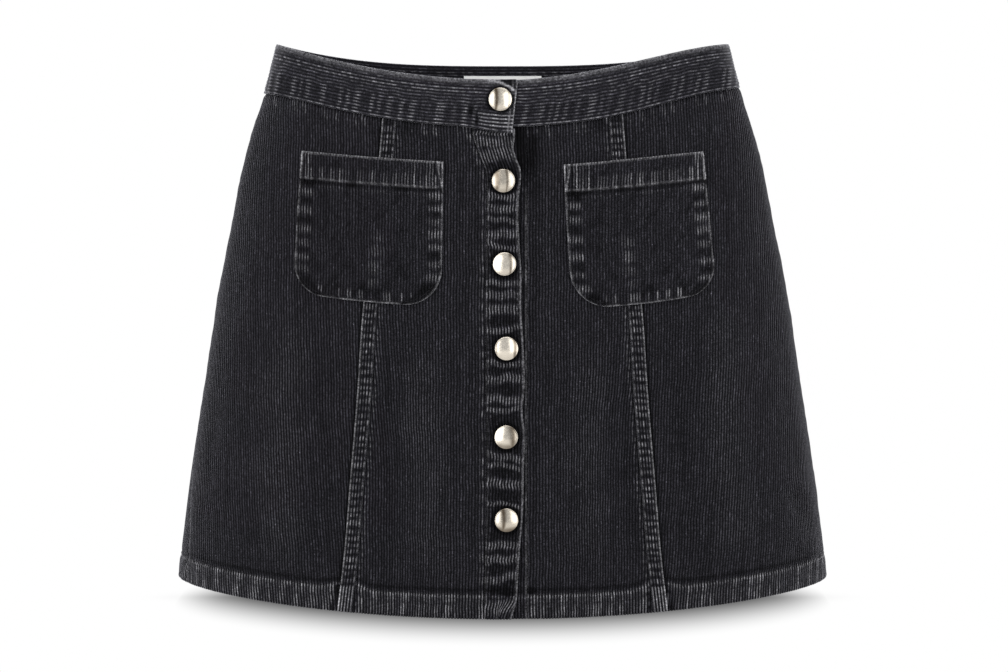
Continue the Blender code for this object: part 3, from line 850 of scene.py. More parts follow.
def grain(cloth, fall):
    """How far the wales stray: slow bends, short wobbles, and gathers under the band."""
    down = fall * SIDE_LENGTH
    stray = 0.35 * waver(down, 0.07, 1.0) + 0.17 * waver(down, 0.019, cloth / 0.05)
    stray = stray + 0.06 * waver(down, 0.0075, cloth / 0.021)
    depth = np.maximum(down - BAND_FALL * SIDE_LENGTH, 0.0)
    return MM * (stray + 0.65 * waver(cloth, 0.012, 4.0) * np.exp(-depth / (6.0 * MM)))


def seam_lap(cloth, side, low):
    """The princess seam's raised, twice-stitched lap, whose wales run along the seam."""
    share, turn = FRONT_ROWS
    seam = low(side * angle_at(seam_across(BAND_FALL), BAND_FALL))
    fall, turned = hem_fold(seam - TUCK / SIDE_LENGTH, share, turn)
    inside = wale_columns(0.0, LAP_WIDTH + WALE) - LAP_OFFSET * WALE
    inside = np.unique(np.clip(inside, 0.0, LAP_WIDTH))[None, ::-side]
    wale = inside / WALE + LAP_OFFSET
    down, depth = fall * SIDE_LENGTH, (fall - seam) * SIDE_LENGTH
    angle = angle_at(side * (seam_across(fall) - SEAM_GAP / 2 - inside), fall)
    slant = down + 0.12 * inside
    pucker = ridges(slant, SEAM_PUCKER, side, 0.20)
    middle = window(inside, 1.2 * MM, LAP_WIDTH - 0.5 * MM, 0.8 * MM)
    on_hem = blend(fall, HEM_FALL - 0.004, HEM_FALL)
    grooves = 0.22 * MM * sum(near(inside, row, 0.7 * MM) for row in STITCH_ROWS)
    raised = LAP_LIFT + 0.40 * MM * middle * (pucker - 0.5) * (1 - on_hem) + 0.3 * MM * on_hem - grooves
    out = mix(-0.7 * MM, raised, blend(depth, -0.5 * MM, 2.0 * MM))
    dots = dashes(slant, SEAM_PUCKER, wale, side, 0.50, 0.20, 0.20) * middle
    dots *= mix(1.0, 0.65, np.abs(inside / WALE - 2.2) / 2) * (0.76 + 0.24 * waver(down, 0.03, side))
    dots *= blend(depth, 2.0 * MM, 9.0 * MM)
    wear_and_shade = mix(1.25 * dots - 0.12, 0.85 * mix(0.35, 1.0, chance(wale, side)), on_hem)
    inner = stripe(inside - LAP_WIDTH, -0.8, 0.6) * blend(ridges(down, 7.5 * MM, side + 1.0), 0.2, 0.6)
    edge = 1.35 * stripe(inside, 0.2, 0.5) * (0.75 + 0.25 * waver(down, 0.024, side))
    edge = edge + 0.35 * inner * (1 - on_hem)
    height = wale_height(wale)
    index = cloth.grid(angle, fall + height * np.sin(turn) / SIDE_LENGTH,
                       out + turned + height * np.cos(turn), wale + LAP_SHIFT, down, wear_and_shade, edge)
    panel_rim(cloth, index, turn, LAP_LIFT + CLOTH)


def front_panel(side, material, inside_material):
    word = SIDES[side]
    low = tab_low if side < 0 else band_low

    def opening_across(fall):
        return curve_through(PLACKET_EDGES, np.maximum(fall, BAND_FALL), 1) if side < 0 else UNDER_RIGHT

    def opening(fall):
        return arc_across(opening_across(fall) + side * SEAM_GAP, fall)

    def seam(fall, inset=0.0):
        return arc_across(side * (seam_across(fall) - SEAM_GAP / 2 - inset), fall)

    def under_lap(fall):
        return seam(fall, LAP_WIDTH - 0.4 * MM)

    def drift(cloth, fall):
        lean = FRONT_LEAN * blend(fall, 0.42, 0.75) * blend(np.abs(cloth), 0.03, 0.10)
        return grain(cloth, fall) - side * lean

    def sink(angle, fall):
        """The right front goes down under the button band."""
        down_to = UNDER_OUTER if side > 0 else 0.0
        return down_to * (1 - blend(across_of(angle, fall), UNDER_RIGHT, UNDER_SLOPE_END))

    def form(arc, angle, fall):
        return sink(angle, fall) + front_form(arc, angle, fall, 2.0 + side)

    def relief(arc, wale, angle, fall):
        across, down = across_of(angle, fall), fall * SIDE_LENGTH
        to_lap = seam_across(fall) - LAP_WIDTH - np.abs(across)
        beside = np.abs(across - opening_across(fall))
        free = 1.0 if side < 0 else blend(fall, 0.19, 0.25)    # the right edge is hidden higher up
        out, wear_and_shade, edge = (hem_relief(arc, wale, fall, 4.0 + side, to_lap)
                           + waist_relief(arc, wale, fall, low(angle), 8.0 + side)
                           + creased(front_form(arc, angle, fall, 2.0 + side)))
        out += sink(angle, fall) - 0.5 * MM * free * stripe(beside, 0.0, 1.0)
        out -= 0.3 * MM * stripe(to_lap, 0.0, 1.2)
        wear_and_shade += 0.35 * stripe(to_lap, 2.4, 1.4) * dashes(down, SEAM_PUCKER, wale, 6.0 + side)
        # painted shade along the lap's edge, and under the waistband beside the lap
        wear_and_shade -= 0.12 * stripe(to_lap, 0.5, 0.9) + 0.14 * stripe(to_lap, 4.0, 9.0) * near(fall, 0.100, 0.013)
        if side < 0:
            wear_and_shade += 0.40 * stripe(beside, 2.4, 1.8) * dashes(down, 8.5 * MM, wale, 9.0)
            # painted shade along the button band's edge
            wear_and_shade -= 0.12 * stripe(beside, 0.0, 1.2)
        else:
            # painted shade beside the tab, and spots at the opening's foot
            wear_and_shade -= 0.24 * near(across, 0.0175, 7.5 * MM) * near(fall, 0.128, 0.040)
            wear_and_shade -= 0.24 * stripe(distance_to(RIGHT_FRONT_SHADE, across, fall), 0.0, 3.5)
            edge += 0.30 * stripe(beside, 0.2, 0.4) * free * (0.6 + 0.4 * waver(down, 0.017, 4.0))
        return out, wear_and_shade, edge

    columns = wale_columns(*sorted(side * end for end in FRONT_SPAN))
    obj = lay_panel(f"cloth_front_{word}", columns, FRONT_ROWS, 0.0, low, (under_lap, opening)[::-side],
                    drift, relief, f"panel_front_{word}", material, lambda cloth: seam_lap(cloth, side, low))
    edges = (seam, opening)[::-side]
    backing = lay_backing(f"inside_front_{word}", edges, BACKING_TOP, form, 24, inside_material,
                          tuck=BACKING_TUCK)
    declare_panel(edges)


def side_panel(side, material, inside_material):
    word = SIDES[side]
    outer_seam = side_edge(side, -1)

    def seam(fall):
        return arc_across(side * (seam_across(fall) + SEAM_GAP / 2), fall)

    def drift(cloth, fall):
        return grain(cloth, fall) - side * SIDE_LEAN * np.maximum(0.0, fall - SIDE_LEAN_FALL) ** 2

    def form(arc, angle, fall):
        return front_form(arc, angle, fall, 3.0 + side)

    def relief(arc, wale, angle, fall):
        outside = np.abs(across_of(angle, fall)) - seam_across(fall)
        pucker = ridges(fall * SIDE_LENGTH, SEAM_PUCKER, side, 0.10)
        # beside_lap: puckers along the lap, and a painted shadow along its edge
        beside_lap = surface(0.30 * MM * stripe(outside, 0.0, 4.0) * (pucker - 0.6),
                             -0.24 * stripe(outside, 0.4, 1.5))
        return (hem_relief(arc, wale, fall, 6.0 + side, outside)
                + waist_relief(arc, wale, fall, band_low(angle), 5.0 + side)
                + side_seam_relief(np.abs(outer_seam(fall) - arc), fall, 1.0 + side)
                + creased(form(arc, angle, fall)) + beside_lap)

    edges = (outer_seam, seam)[::-side]
    columns = wale_columns(*sorted(side * end for end in SIDE_SPAN))
    obj = lay_panel(f"cloth_side_{word}", columns, SIDE_ROWS, 0.0, band_low, edges, drift, relief,
                    f"panel_side_{word}", material)
    backing = lay_backing(f"inside_side_{word}", edges, BACKING_TOP, form, 36, inside_material)
    declare_panel(edges)


def back_panel(material, inside_material):
    centre, edges = edge_at_angle(math.pi), (side_edge(1, 1), side_edge(-1, 1))

    def drift(cloth, fall):
        return centre(fall) + grain(cloth, fall)

    def form(arc, angle, fall):
        return creases(BACK_CREASES, across_of(angle, fall), fall) * blend(-np.cos(angle), 0.0, 0.35)

    def relief(arc, wale, angle, fall):
        to_side = np.minimum(*(np.abs(edge(fall) - arc) for edge in edges))
        return (hem_relief(arc, wale, fall, 9.0) + waist_relief(arc, wale, fall, band_low(angle), 7.0)
                + side_seam_relief(to_side, fall, 2.0) + creased(form(arc, angle, fall)))

    obj = lay_panel("cloth_back", wale_columns(*BACK_SPAN), BACK_ROWS, centre(BAND_FALL), band_low, edges,
                    drift, relief, "panel_back", material)
    backing = lay_backing("inside_back", edges, BACKING_TOP, form, 90, inside_material, tuck=BACKING_TUCK)
    declare_panel(edges)


# ---- front opening ------------------------------------------------------------------
def placket_folds(across, fall):
    """The folds between the snaps: height, and how crested the cloth is, 0 to 1."""
    out = np.zeros(np.shape(across))
    crest = np.zeros(np.shape(across))
    for ridge_fall, tilt, height, half in PLACKET_RIDGES:
        bend = 0.003 * waver(across, 0.02, ridge_fall * 50)
        shape = near(fall, ridge_fall + tilt * across + bend, half)
        out += height * MM * shape
        crest = np.maximum(crest, shape)
    for place in SNAPS[1:]:
        distance = distance_to(place, across, fall)
        loose = blend(distance, 8.5 * MM, 11.5 * MM)
        out *= loose
        crest *= loose
        out -= 0.5 * MM * stripe(distance, 9.2, 1.6)
    return out, crest


def snap_shadow_ring(across, fall):
    """1 in the hollow round a snap, where a shadow is painted."""
    return sum(near(distance_to(place, across, fall), SNAP_RADIUS + 0.4 * MM, 1.1 * MM) for place in SNAPS)


def placket_over(material):
    left_edge, right_edge = edges = placket_edge(1), placket_edge(2)

    def middle(fall):
        return (left_edge(fall) + right_edge(fall)) / 2

    def drift(cloth, fall):
        squeeze = MM * (placket_folds(np.zeros_like(fall), fall)[1] - 0.5)
        foot = blend(fall, 0.952, 1.0) * blend(cloth, -3.0 * MM, 7.0 * MM)   # its corner curls
        return middle(fall) + squeeze * waver(fall * SIDE_LENGTH, 0.031, 2.0) - 5.5 * MM * foot

    def relief(arc, wale, angle, fall):
        across, down = across_of(angle, fall), fall * SIDE_LENGTH
        to_left, to_right = arc - left_edge(fall), right_edge(fall) - arc
        folds, crest = placket_folds(across, fall)
        hem, hem_wear_and_shade = hem_relief(arc, wale, fall, 2.0)[:2]
        grooves = 0.60 * stripe(to_left, 0.0, 0.9) + 0.25 * stripe(to_left, 2.0, 0.8)
        grooves += 0.25 * stripe(to_right, 2.6, 0.8)
        out = OVER_OUTER + folds + 0.5 * hem - (0.45 + grooves) * MM
        # Fold crests rubbed and painted lighter, troughs painted darker as shade, a painted shadow ring round
        # each snap.
        lit = mix(0.40, 1.0, cell_chance(wale, np.floor(down / (8.0 * MM)), 5.0))
        wear_and_shade = 0.50 * blend(crest, 0.28, 0.75) * lit - 0.13 * (1 - blend(crest, 0.08, 0.45)) + 0.6 * hem_wear_and_shade
        wear_and_shade = wear_and_shade * blend(to_right, 0.8 * MM, 2.2 * MM) - 0.35 * snap_shadow_ring(across, fall)
        wear_and_shade += 0.35 * stripe(to_left, 2.2, 1.0) * dashes(down, 5.0 * MM, wale, 3.0)
        # painted shade at the curled foot and along its fold line
        wear_and_shade -= 0.35 * stripe(distance_to(FOOT_SHADE, across, fall), 0.0, 3.2)
        fold_line = near(across, 0.0010 - 0.09 * (fall - 0.965), 1.3 * MM)
        wear_and_shade -= 0.30 * fold_line * blend(fall, 0.955, 0.968)
        edge = 0.50 * stripe(to_right, 0.4, 0.9) + 0.20 * stripe(to_left, 0.3, 0.5)
        return out, wear_and_shade, edge * (0.8 + 0.2 * waver(down, 0.014, 3.0))

    obj = lay_panel("cloth_placket_over", wale_columns(*OVER_SPAN), OVER_ROWS, middle(BAND_FALL), tab_low,
                    edges, drift, relief, "placket_over", material)
    backing = lay_backing("inside_placket_over", edges, BAND_FALL + TAB_DROOP + 0.002,
                          lambda arc, angle, fall: OVER_OUTER - OVER_WALL + CLOTH, 8, material, 0.0)


def placket_under(material, inside_material):
    edges = edge_at_across(UNDER_LEFT), edge_at_across(UNDER_RIGHT)

    def relief(arc, wale, angle, fall):
        down = fall * SIDE_LENGTH
        hem, hem_wear_and_shade = hem_relief(arc, wale, fall, 3.0)[:2]
        pucker = ridges(down, 11.0 * MM, 5.0)
        shade = near(fall, 0.128, 0.045)      # painted shade, deepest beside the tab
        # painted shade beside the tab, and a little darker all over
        wear_and_shade = (0.5 * hem_wear_and_shade + 0.20 * blend(pucker, 0.5, 1.0)) * (1 - shade) - 0.06 - 0.30 * shade
        edge = 0.4 * stripe(edges[1](fall) - arc, 0.3, 0.6) * (0.6 + 0.4 * waver(down, 0.02, 8.0))
        return UNDER_OUTER + 0.5 * hem + 0.5 * MM * (pucker - 0.5), wear_and_shade, edge * blend(fall, 0.19, 0.25)

    obj = lay_panel("cloth_placket_under", wale_columns(*UNDER_SPAN), UNDER_ROWS, 0.0, band_low,
                    edges, grain, relief, "placket_under", material)
    backing = lay_backing("inside_placket_under", edges, BAND_FALL + 0.008,
                          lambda arc, angle, fall: UNDER_OUTER - UNDER_WALL + CLOTH, 8, inside_material, 0.0)


# ---- waistband ----------------------------------------------------------------------
BAND_ROLL = BAND_WALL / 2
BAND_RIM = 0.7 * MM
BAND_END_COLUMNS = (1.17 * MM, 0.78 * MM, 0.39 * MM, 0.13 * MM, 0.0)   # from the tab's round end


def band_section():
    """Rows round the folded band, from its inner lower edge over the top to its outer
    one: share down the face, turn over the top, and the wale at each."""
    face = np.append(wale_steps(0, BAND_WALES), BAND_WALES)
    roll = wale_steps(0, ROLL_WALES)[1:]
    flat, level = np.zeros(len(face)), np.zeros(len(roll))
    share = np.concatenate([1 - face / BAND_WALES, level, face / BAND_WALES])
    turn = np.concatenate([flat, math.pi * roll / ROLL_WALES, flat + math.pi])
    wale = np.concatenate([face, BAND_WALES + roll, BAND_WALES + ROLL_WALES + face])
    return share[:, None], turn[:, None], wale[:, None]


def lay_band(word, start, end, step, low_edge, outer_out, relief, material, round_end=False):
    """A stretch of waistband, cut in one and folded over along its top edge.

    The wales run along it from its start to its end, and the stretches meet at the
    side seams.
    """
    share, turn, wale = band_section()
    length = float(end(BAND_FALL) - start(BAND_FALL))
    along = spaced((length, step)) / length
    if round_end:   # closer columns where the end turns round
        along = np.sort(np.append(along[:-1], 1 - np.array(BAND_END_COLUMNS) / length))
    low = low_edge(angle_of(mix(start(BAND_FALL), end(BAND_FALL), along[None, :]), BAND_FALL))
    fall = mix(BAND_ROLL / SIDE_LENGTH, low, share)
    arc = mix(start(fall), end(fall), along)
    stray = waver(arc, 0.021, 3.0) * waver(share, 0.9, 1.0) * np.sin(math.pi * share)
    fall = fall + 0.4 * MM / SIDE_LENGTH * stray
    angle = angle_of(arc, fall)
    across = across_of(angle, fall)
    outer = 0.5 - 0.5 * np.cos(turn)                # 0 on the inner face, 1 on the outer
    extra, wear_and_shade, edge = relief(arc, across, fall, share, outer)
    reach = BAND_ROLL + 0.6 * wale_height(wale)
    index = np.arange(arc.size).reshape(arc.shape)
    if round_end:   # it thins out, and the two faces meet
        reach = reach * np.sqrt(1 - (1 - np.clip((end(fall) - arc) / BAND_ROLL, 0.0, 1.0)) ** 2)
        index[:, -1] = np.minimum(index[:, -1], index[::-1, -1])
        index = np.unique(index, return_inverse=True)[1].reshape(index.shape)
    out = outer_out(across) - BAND_ROLL - np.cos(turn) * reach + extra * outer
    cloth = Cloth()
    index = cloth.grid(angle, fall - np.sin(turn) * reach / SIDE_LENGTH, out,
                       wale + BAND_SHIFT, arc, wear_and_shade, edge, index=index)
    for chain, depth in ((index[-1, :], BAND_RIM), (index[0, ::-1], -BAND_RIM)):
        cloth.rim(chain, depth, RIM_EDGE)
    obj = cloth.build(f"cloth_waistband_{word}", material)
    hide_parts(f"waistband_{word}")


def band_relief(seed):
    """Puckers and worn patches, most in the lower part, ticks near the top, a smooth top fold in painted
    light; painted shade between the puckers and in a line near the top.
    """
    def relief(arc, across, fall, share, outer):
        wale = np.floor(np.clip(share, 0.0, 0.999) * BAND_WALES)
        slide = arc + 0.030 * chance(wale, seed)
        patch = ridges(arc + 0.006 * share + 1.6 * MM * chance(wale, seed + 3), BAND_PUCKER, seed, 0.35)
        low = window(share, 0.60, 0.90, 0.14)
        out = 0.55 * low * (patch - 0.5) - 0.35 * near(share, 0.955, 0.03)
        out += 0.12 * near(share, 0.2, 0.08) * waver(arc, 0.009, seed)
        short = dashes(slide, 4.4 * MM, wale, seed, 0.55, 0.0, 0.3)
        long = dashes(slide, 9.5 * MM, wale, seed + 1, 0.60, 0.0, 0.4)
        # painted shade in the troughs between the puckers
        wear_and_shade = 0.62 * blend(patch, 0.30, 0.75) * mix(0.45, 1.0, short) - 0.07 * (1 - blend(patch, 0.1, 0.4))
        wear_and_shade = low * wear_and_shade + 0.50 * window(share, 0.13, 0.27, 0.03) * short + 0.20 * (1 - low) * long
        wear_and_shade += 0.50 * near(share, 0.965, 0.022) * dashes(arc, 6.5 * MM, wale, seed + 2, 0.6, 0.0, 0.3)
        # a painted shade line near the top
        wear_and_shade -= 0.10 * near(share, 0.115, 0.02)
        edge = 0.30 * (1 - blend(share, 0.0, 0.02)) + 0.16 * (1 - blend(share, 0.06, 0.09))
        edge = edge * blend(outer, 0.3, 0.8) * (0.8 + 0.2 * waver(arc, 0.03, seed))
        return out * MM, wear_and_shade * outer, edge
    return relief


def waistband_left(material):
    plain = band_relief(2.0)

    def end(fall):
        across = mix(TAB_END_TOP, TAB_END_LOW, np.clip(fall / (BAND_FALL + TAB_DROOP), 0.0, 1.0))
        short = np.clip(1 - fall * SIDE_LENGTH / TAB_CORNER, 0.0, 1.0)
        return arc_across(across - TAB_CORNER * (1 - np.sqrt(1 - short**2)) * 0.8, fall)

    def relief(arc, across, fall, share, outer):
        out, wear_and_shade, edge = plain(arc, across, fall, share, outer)
        distance = distance_to(SNAPS[0], across, fall)
        loose = blend(distance, 9.0 * MM, 13.0 * MM)
        # The drag below the snap: a notch in painted shade, and to its right a ridge in painted light down to
        # the end; shade is painted round the snap too.
        below = fall * SIDE_LENGTH - 0.10 * across
        notch = near(across, -0.0185 + 0.20 * (fall - 0.075), 2.4 * MM) * window(below, 0.025, 0.032, 0.006)
        ridge = window(below, 0.0265, 0.0335, 0.003) * window(across, -0.0150, 0.0060, 0.003)
        out = out * loose + MM * (0.6 * ridge - 0.7 * notch - 0.55 * stripe(distance, 9.6, 2.0))
        drag_light_and_shade = 0.45 * ridge - 0.20 * notch - 0.35 * snap_shadow_ring(across, fall)
        # The end's top corner is folded back behind a curved crease, with painted light along the crease and
        # painted shade on the folded corner.
        crease = 0.0018 + 57.0 * np.maximum(across + 0.0095, 0.0) ** 2
        folded = window(across, -0.0070, 0.0100, 0.003) * (1 - blend(fall - crease, -0.004, -0.001))
        bright = near(fall - crease, 0.001, 0.0022) * window(across, -0.0095, 0.0075, 0.002)
        to_end = end(fall) - arc
        tab = stripe(to_end, 0.2, 0.6) + 0.4 * stripe(to_end, 3.2, 0.5)
        wear_and_shade = wear_and_shade * mix(0.35, 1.0, loose) + (drag_light_and_shade - 0.2 * folded) * outer
        return out, wear_and_shade, np.maximum(edge * (1 - folded), (tab + bright) * outer)

    lay_band("left", edge_at_angle(-QUARTER), end, 1.1 * MM, tab_low,
             lambda across: BAND_OUTER + TAB_LIFT * blend(across, *TAB_RISE), relief, material, True)


def waistband_right(material):
    lay_band("right", edge_at_across(BAND_UNDER_END), edge_at_angle(QUARTER), 1.1 * MM, band_low,
             lambda across: BAND_OUTER - BAND_SINK * (1 - blend(across, *BAND_SINK_SPAN)),
             band_relief(6.0), material)


def waistband_back(material):
    plain = band_relief(7.0)

    def relief(arc, across, fall, share, outer):
        out, wear_and_shade, edge = plain(arc, across, fall, share, outer)
        rows = near(share, 0.14, 0.03) + near(share, 0.33, 0.03)
        return out, wear_and_shade + 0.70 * rows * blend(ridges(arc, 7.5 * MM, 4.0), 0.25, 0.6) * (1 - outer), edge

    lay_band("back", edge_at_angle(QUARTER), edge_at_angle(3 * QUARTER), 1.2 * MM, band_low,
             lambda across: BAND_OUTER, relief, material)


# ---- patch pockets ------------------------------------------------------------------
class PocketForm:
    """One pocket's outline and how it lies, by share of its height from the top."""

    def __init__(self, side):
        self.side = side
        self.outer, self.inner = POCKET_OUTER_EDGE[side], POCKET_INNER_EDGE[side]
        self.top, self.low = POCKET_TOP_FALL[side], POCKET_LOW_FALL[side]
        self.height = SIDE_LENGTH * (self.low[1] - self.top[1])
        self.band = POCKET_BAND * self.height

    def inset(self, share, radius):
        """How far a round lower corner takes the edge in."""
        drop = np.maximum(0.0, radius - (1 - share) * self.height)
        return radius - np.sqrt(np.maximum(0.0, radius**2 - drop**2))

    def edges(self, share, aside=0.0):
        """Distances of the outer and inner edge, or of lines a little inside them."""
        share = np.minimum(share, 1 - aside / self.height)
        lower = share + aside / self.height
        outer = bow_through(self.outer, share) - aside - self.inset(lower, POCKET_OUTER_CORNER)
        return outer, bow_through(self.inner, share) + aside + self.inset(lower, POCKET_INNER_CORNER)

    def fall(self, distance, share):
        along = (distance - self.inner[0]) / (self.outer[0] - self.inner[0])
        return mix(bow_through(self.top, along), bow_through(self.low, along), share)

    def over_lap(self, distance, fall):
        """Where the pocket passes over the princess seam's lap."""
        return window(seam_across(fall) - distance, 1.0 * MM, LAP_WIDTH - 1.0 * MM, 3.5 * MM)

    def dash_rows(self, share, places):
        """Short rows of rubbed pile at given shares, each with its own strength and width."""
        rows = 0.0
        for place in places:
            strength, width = (mix(*span, chance(1000 * place, seed))
                               for seed, span in ((1.0, (0.60, 1.0)), (2.0, (1.9, 3.3))))
            rows = rows + strength * stripe((share - place) * self.height, 0.0, width)
        return rows


def pocket_relief(form, arc, wale, fall, distance, share):
    """How far a pocket stands out, its wear and painted shade, and its lit edges."""
    side, band = form.side, form.band
    down = share * form.height
    outer, inner = form.edges(share)
    to_outer, to_inner = outer - distance, distance - inner
    to_low = form.height - down
    to_side = np.minimum(to_outer, to_inner)
    to_edge = np.minimum(to_side, to_low)
    under_band = down - band
    fold = 1 - blend(down, band - 0.3 * MM, band + 0.4 * MM)   # 1 on the turned top band
    below = 1 - fold
    on_outer, on_inner = (blend(9.0 * MM - to, -2.5 * MM, 0.0) for to in (to_outer, to_inner))
    rim = np.maximum(on_outer, on_inner)
    rows = [form.dash_rows(share, places) for places in POCKET_DASHES[side]]
    rows = np.maximum(on_outer * rows[0], on_inner * rows[1]) * below
    bottom = (1 - blend(to_low, 7.0 * MM, 10.0 * MM)) * (1 - rim)
    low_pucker = ridges(arc, POCKET_PUCKER, 7.0 + side)
    top_pucker = ridges(arc, 7.5 * MM, 4.0 + side)
    knob = stripe(down, 2.5, 2.5) * stripe(to_side, 1.0, 2.5)

    out = 0.8 * knob + 0.60 * (rows - 0.3 * rim) + 0.45 * bottom * (low_pucker - 0.5)
    out += 0.35 * fold * blend(down, 0.3 * band, 0.8 * band) * (top_pucker - 0.5)
    out -= 0.35 * stripe(to_edge, 2.0, 0.8) + 0.4 * stripe(under_band, 1.4, 1.3)
    out += 0.7 * blend(to_edge, 6.0 * MM, 30.0 * MM) * below
    out = out * MM + LAP_LIFT * form.over_lap(distance, fall) + SEAM_GAP + CLOTH + POCKET_BAND_LIFT * fold

    lit = mix(0.45, 1.0, chance(wale, 3.0 + side))
    open_cloth = blend(to_side, 0.6 * MM, 2.0 * MM)
    # painted shade in the gaps between the rows of dashes by the edges
    wear_and_shade = 0.85 * rows * lit * open_cloth - 0.12 * rim * (1 - rows) * below
    hem_ticks = bottom * window(to_low, 2.0 * MM, 7.0 * MM, 1.2 * MM)
    wear_and_shade += 0.75 * hem_ticks * blend(low_pucker + 0.4 * chance(wale, 5.0 + side), 0.35, 0.95) * lit
    wear_and_shade -= 0.05 * bottom
    lower = window(down, 0.60 * band, 0.92 * band, 0.15 * band)
    ticks = mix(0.35, 1.0, blend(top_pucker, 0.2, 0.65)) * chance(wale, side) ** 1.3
    wear_and_shade += fold * (lower * (0.75 * ticks - 0.03) + 0.35 * stripe(to_inner, 16.0, 9.0) * ticks) + 0.5 * knob
    # a painted shadow under the top band
    wear_and_shade -= 0.15 * stripe(under_band, 1.6, 1.6) * (0.75 + 0.25 * waver(arc, 0.03, side))
    wear_and_shade += 0.30 * stripe(under_band, 4.2, 1.0) * dashes(arc, WALE, wale, side, 0.6, 0.0)
    # dull cloudy patches, and more painted shadow under the top band by the edges
    cloudy = waver(arc, 0.034, 2.0 + side) * waver(down, 0.027, 5.0) + 0.4 * waver(arc + down, 0.013, side)
    wear_and_shade -= 0.07 * blend(cloudy, 0.05, 0.60) * open_cloth + 0.07 * stripe(under_band, 3.5, 3.0) * rim
    # The band's ends are folded in: bars, and at the inner end a gap in painted shade and a curved edge.
    wear_and_shade += fold * (0.60 * (stripe(to_inner, 8.0, 1.2) + stripe(to_outer, 5.2, 1.2))
                    - 0.22 * stripe(to_inner, 5.4, 1.0))
    curl = np.abs(to_inner - 3.8 * MM * (1 - np.clip(down / band, 0.0, 1.0) ** 1.5))
    # The lap's edge shows through, rubbed in the lower half.
    inside_seam = seam_across(fall) - distance
    rub = near(inside_seam, 0.55 * LAP_WIDTH, 3.6 * MM) * below * window(share, 0.60, 0.84, 0.12)
    wear_and_shade += 0.50 * rub * dashes(down, 11.0 * MM, wale, 8.0 + side, 0.7)
    wear_and_shade -= 0.10 * near(share, 0.91, 0.05) * near(inside_seam, 0.2 * LAP_WIDTH, 9.0 * MM)

    edge = stripe(to_edge, 0.2, 0.6) * (0.54 + 0.42 * waver(arc + down, 0.016, side))
    comb = 1 - blend(np.abs(wale - np.floor(wale) - 0.5), 0.15, 0.40)
    edge = np.maximum(edge, 0.85 * stripe(down, 0.3, 0.7) * (0.15 + 0.85 * comb))
    edge += fold * (0.55 * stripe(curl, 0.0, 0.5) + 0.3 * stripe(to_outer, 0.3, 0.9))
    edge += 0.35 * stripe(under_band, -0.7, 0.7) * mix(0.3, 1.0, chance(wale, side))
    return out, wear_and_shade, edge


def pocket(side, material):
    word = SIDES[side]
    form = PocketForm(side)
    round_start = form.height - POCKET_INNER_CORNER
    metres = spaced((form.band, 1.0 * MM), (POCKET_BAND_EDGE, POCKET_BAND_EDGE),
                    (round_start - form.band - POCKET_BAND_EDGE, 1.2 * MM))
    bend = np.linspace(0.0, QUARTER, 25)[1:]
    share = (np.append(metres, round_start + POCKET_INNER_CORNER * np.sin(bend)) / form.height)[:, None]
    columns = np.sort(side * wale_columns(*POCKET_SPAN))
    middle = form.fall(0.09, share)
    low, high = [arc_across(side * edge, middle) for edge in form.edges(share)][::-side]
    arc, wale, index = trim(columns, grain(columns, middle), low, high)[:3]
    distance = np.abs(across_of(angle_of(arc, middle), middle))
    fall = form.fall(distance, share)
    out, wear_and_shade, edge = pocket_relief(form, arc, wale, fall, distance, share)
    cloth = Cloth()
    index = cloth.grid(side * angle_at(distance, fall), fall, out + wale_height(wale), wale + POCKET_SHIFT,
                       fall * SIDE_LENGTH, wear_and_shade, edge, index=index)
    cloth.rim(np.append(border(index), index[-1, :]), CLOTH + 0.25 * MM, 0.5)
    obj = cloth.build(f"cloth_pocket_{word}", material)
    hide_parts(f"pocket_{word}")
    cut = (form.outer[2] - form.inner[2] + 2 * SEAM_ALLOWANCE, form.height + SEAM_ALLOWANCE + HEM_TURN)
    0.97 * cut[0] * cut[1]


# ---- label and snaps ----------------------------------------------------------------
def label(material):
    """A bare woven tag on the inside of the back waistband."""
    share = np.linspace(0.0, 1.0, 13)[:, None]
    across = np.linspace(LABEL_HALF_WIDTH, -LABEL_HALF_WIDTH, 29)[None, :]
    fall = mix(LABEL_TOP_FALL, LABEL_LOW_FALL, share)
    bow = 0.25 * MM * waver(across, 0.05, 2.0) * np.sin(math.pi * share)
    out = BAND_OUTER - BAND_WALL - SEAM_GAP - LABEL_WALL + bow
    cloth = Cloth()
    index = cloth.grid(math.pi - angle_at(across, fall), fall, out, across / MM, fall * SIDE_LENGTH, 0.0, 0.0)
    cloth.rim(np.append(border(index), index[-1, :]), 0.1 * MM - LABEL_WALL)
    obj = cloth.build("cloth_label", material)
    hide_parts("label")


def reflection_shade(x, y, streaks, low, over):
    """How much brown reflection is painted on a cap, at places given in radii from its middle."""
    shade = np.maximum(over, low * blend(0.2 * x**2 - y, 0.35, 0.85))
    for place, half, strength in streaks:
        shade = np.maximum(shade, strength * near(x + 0.12 * y**2, place, half * (1 + 0.3 * y)))
    return shade


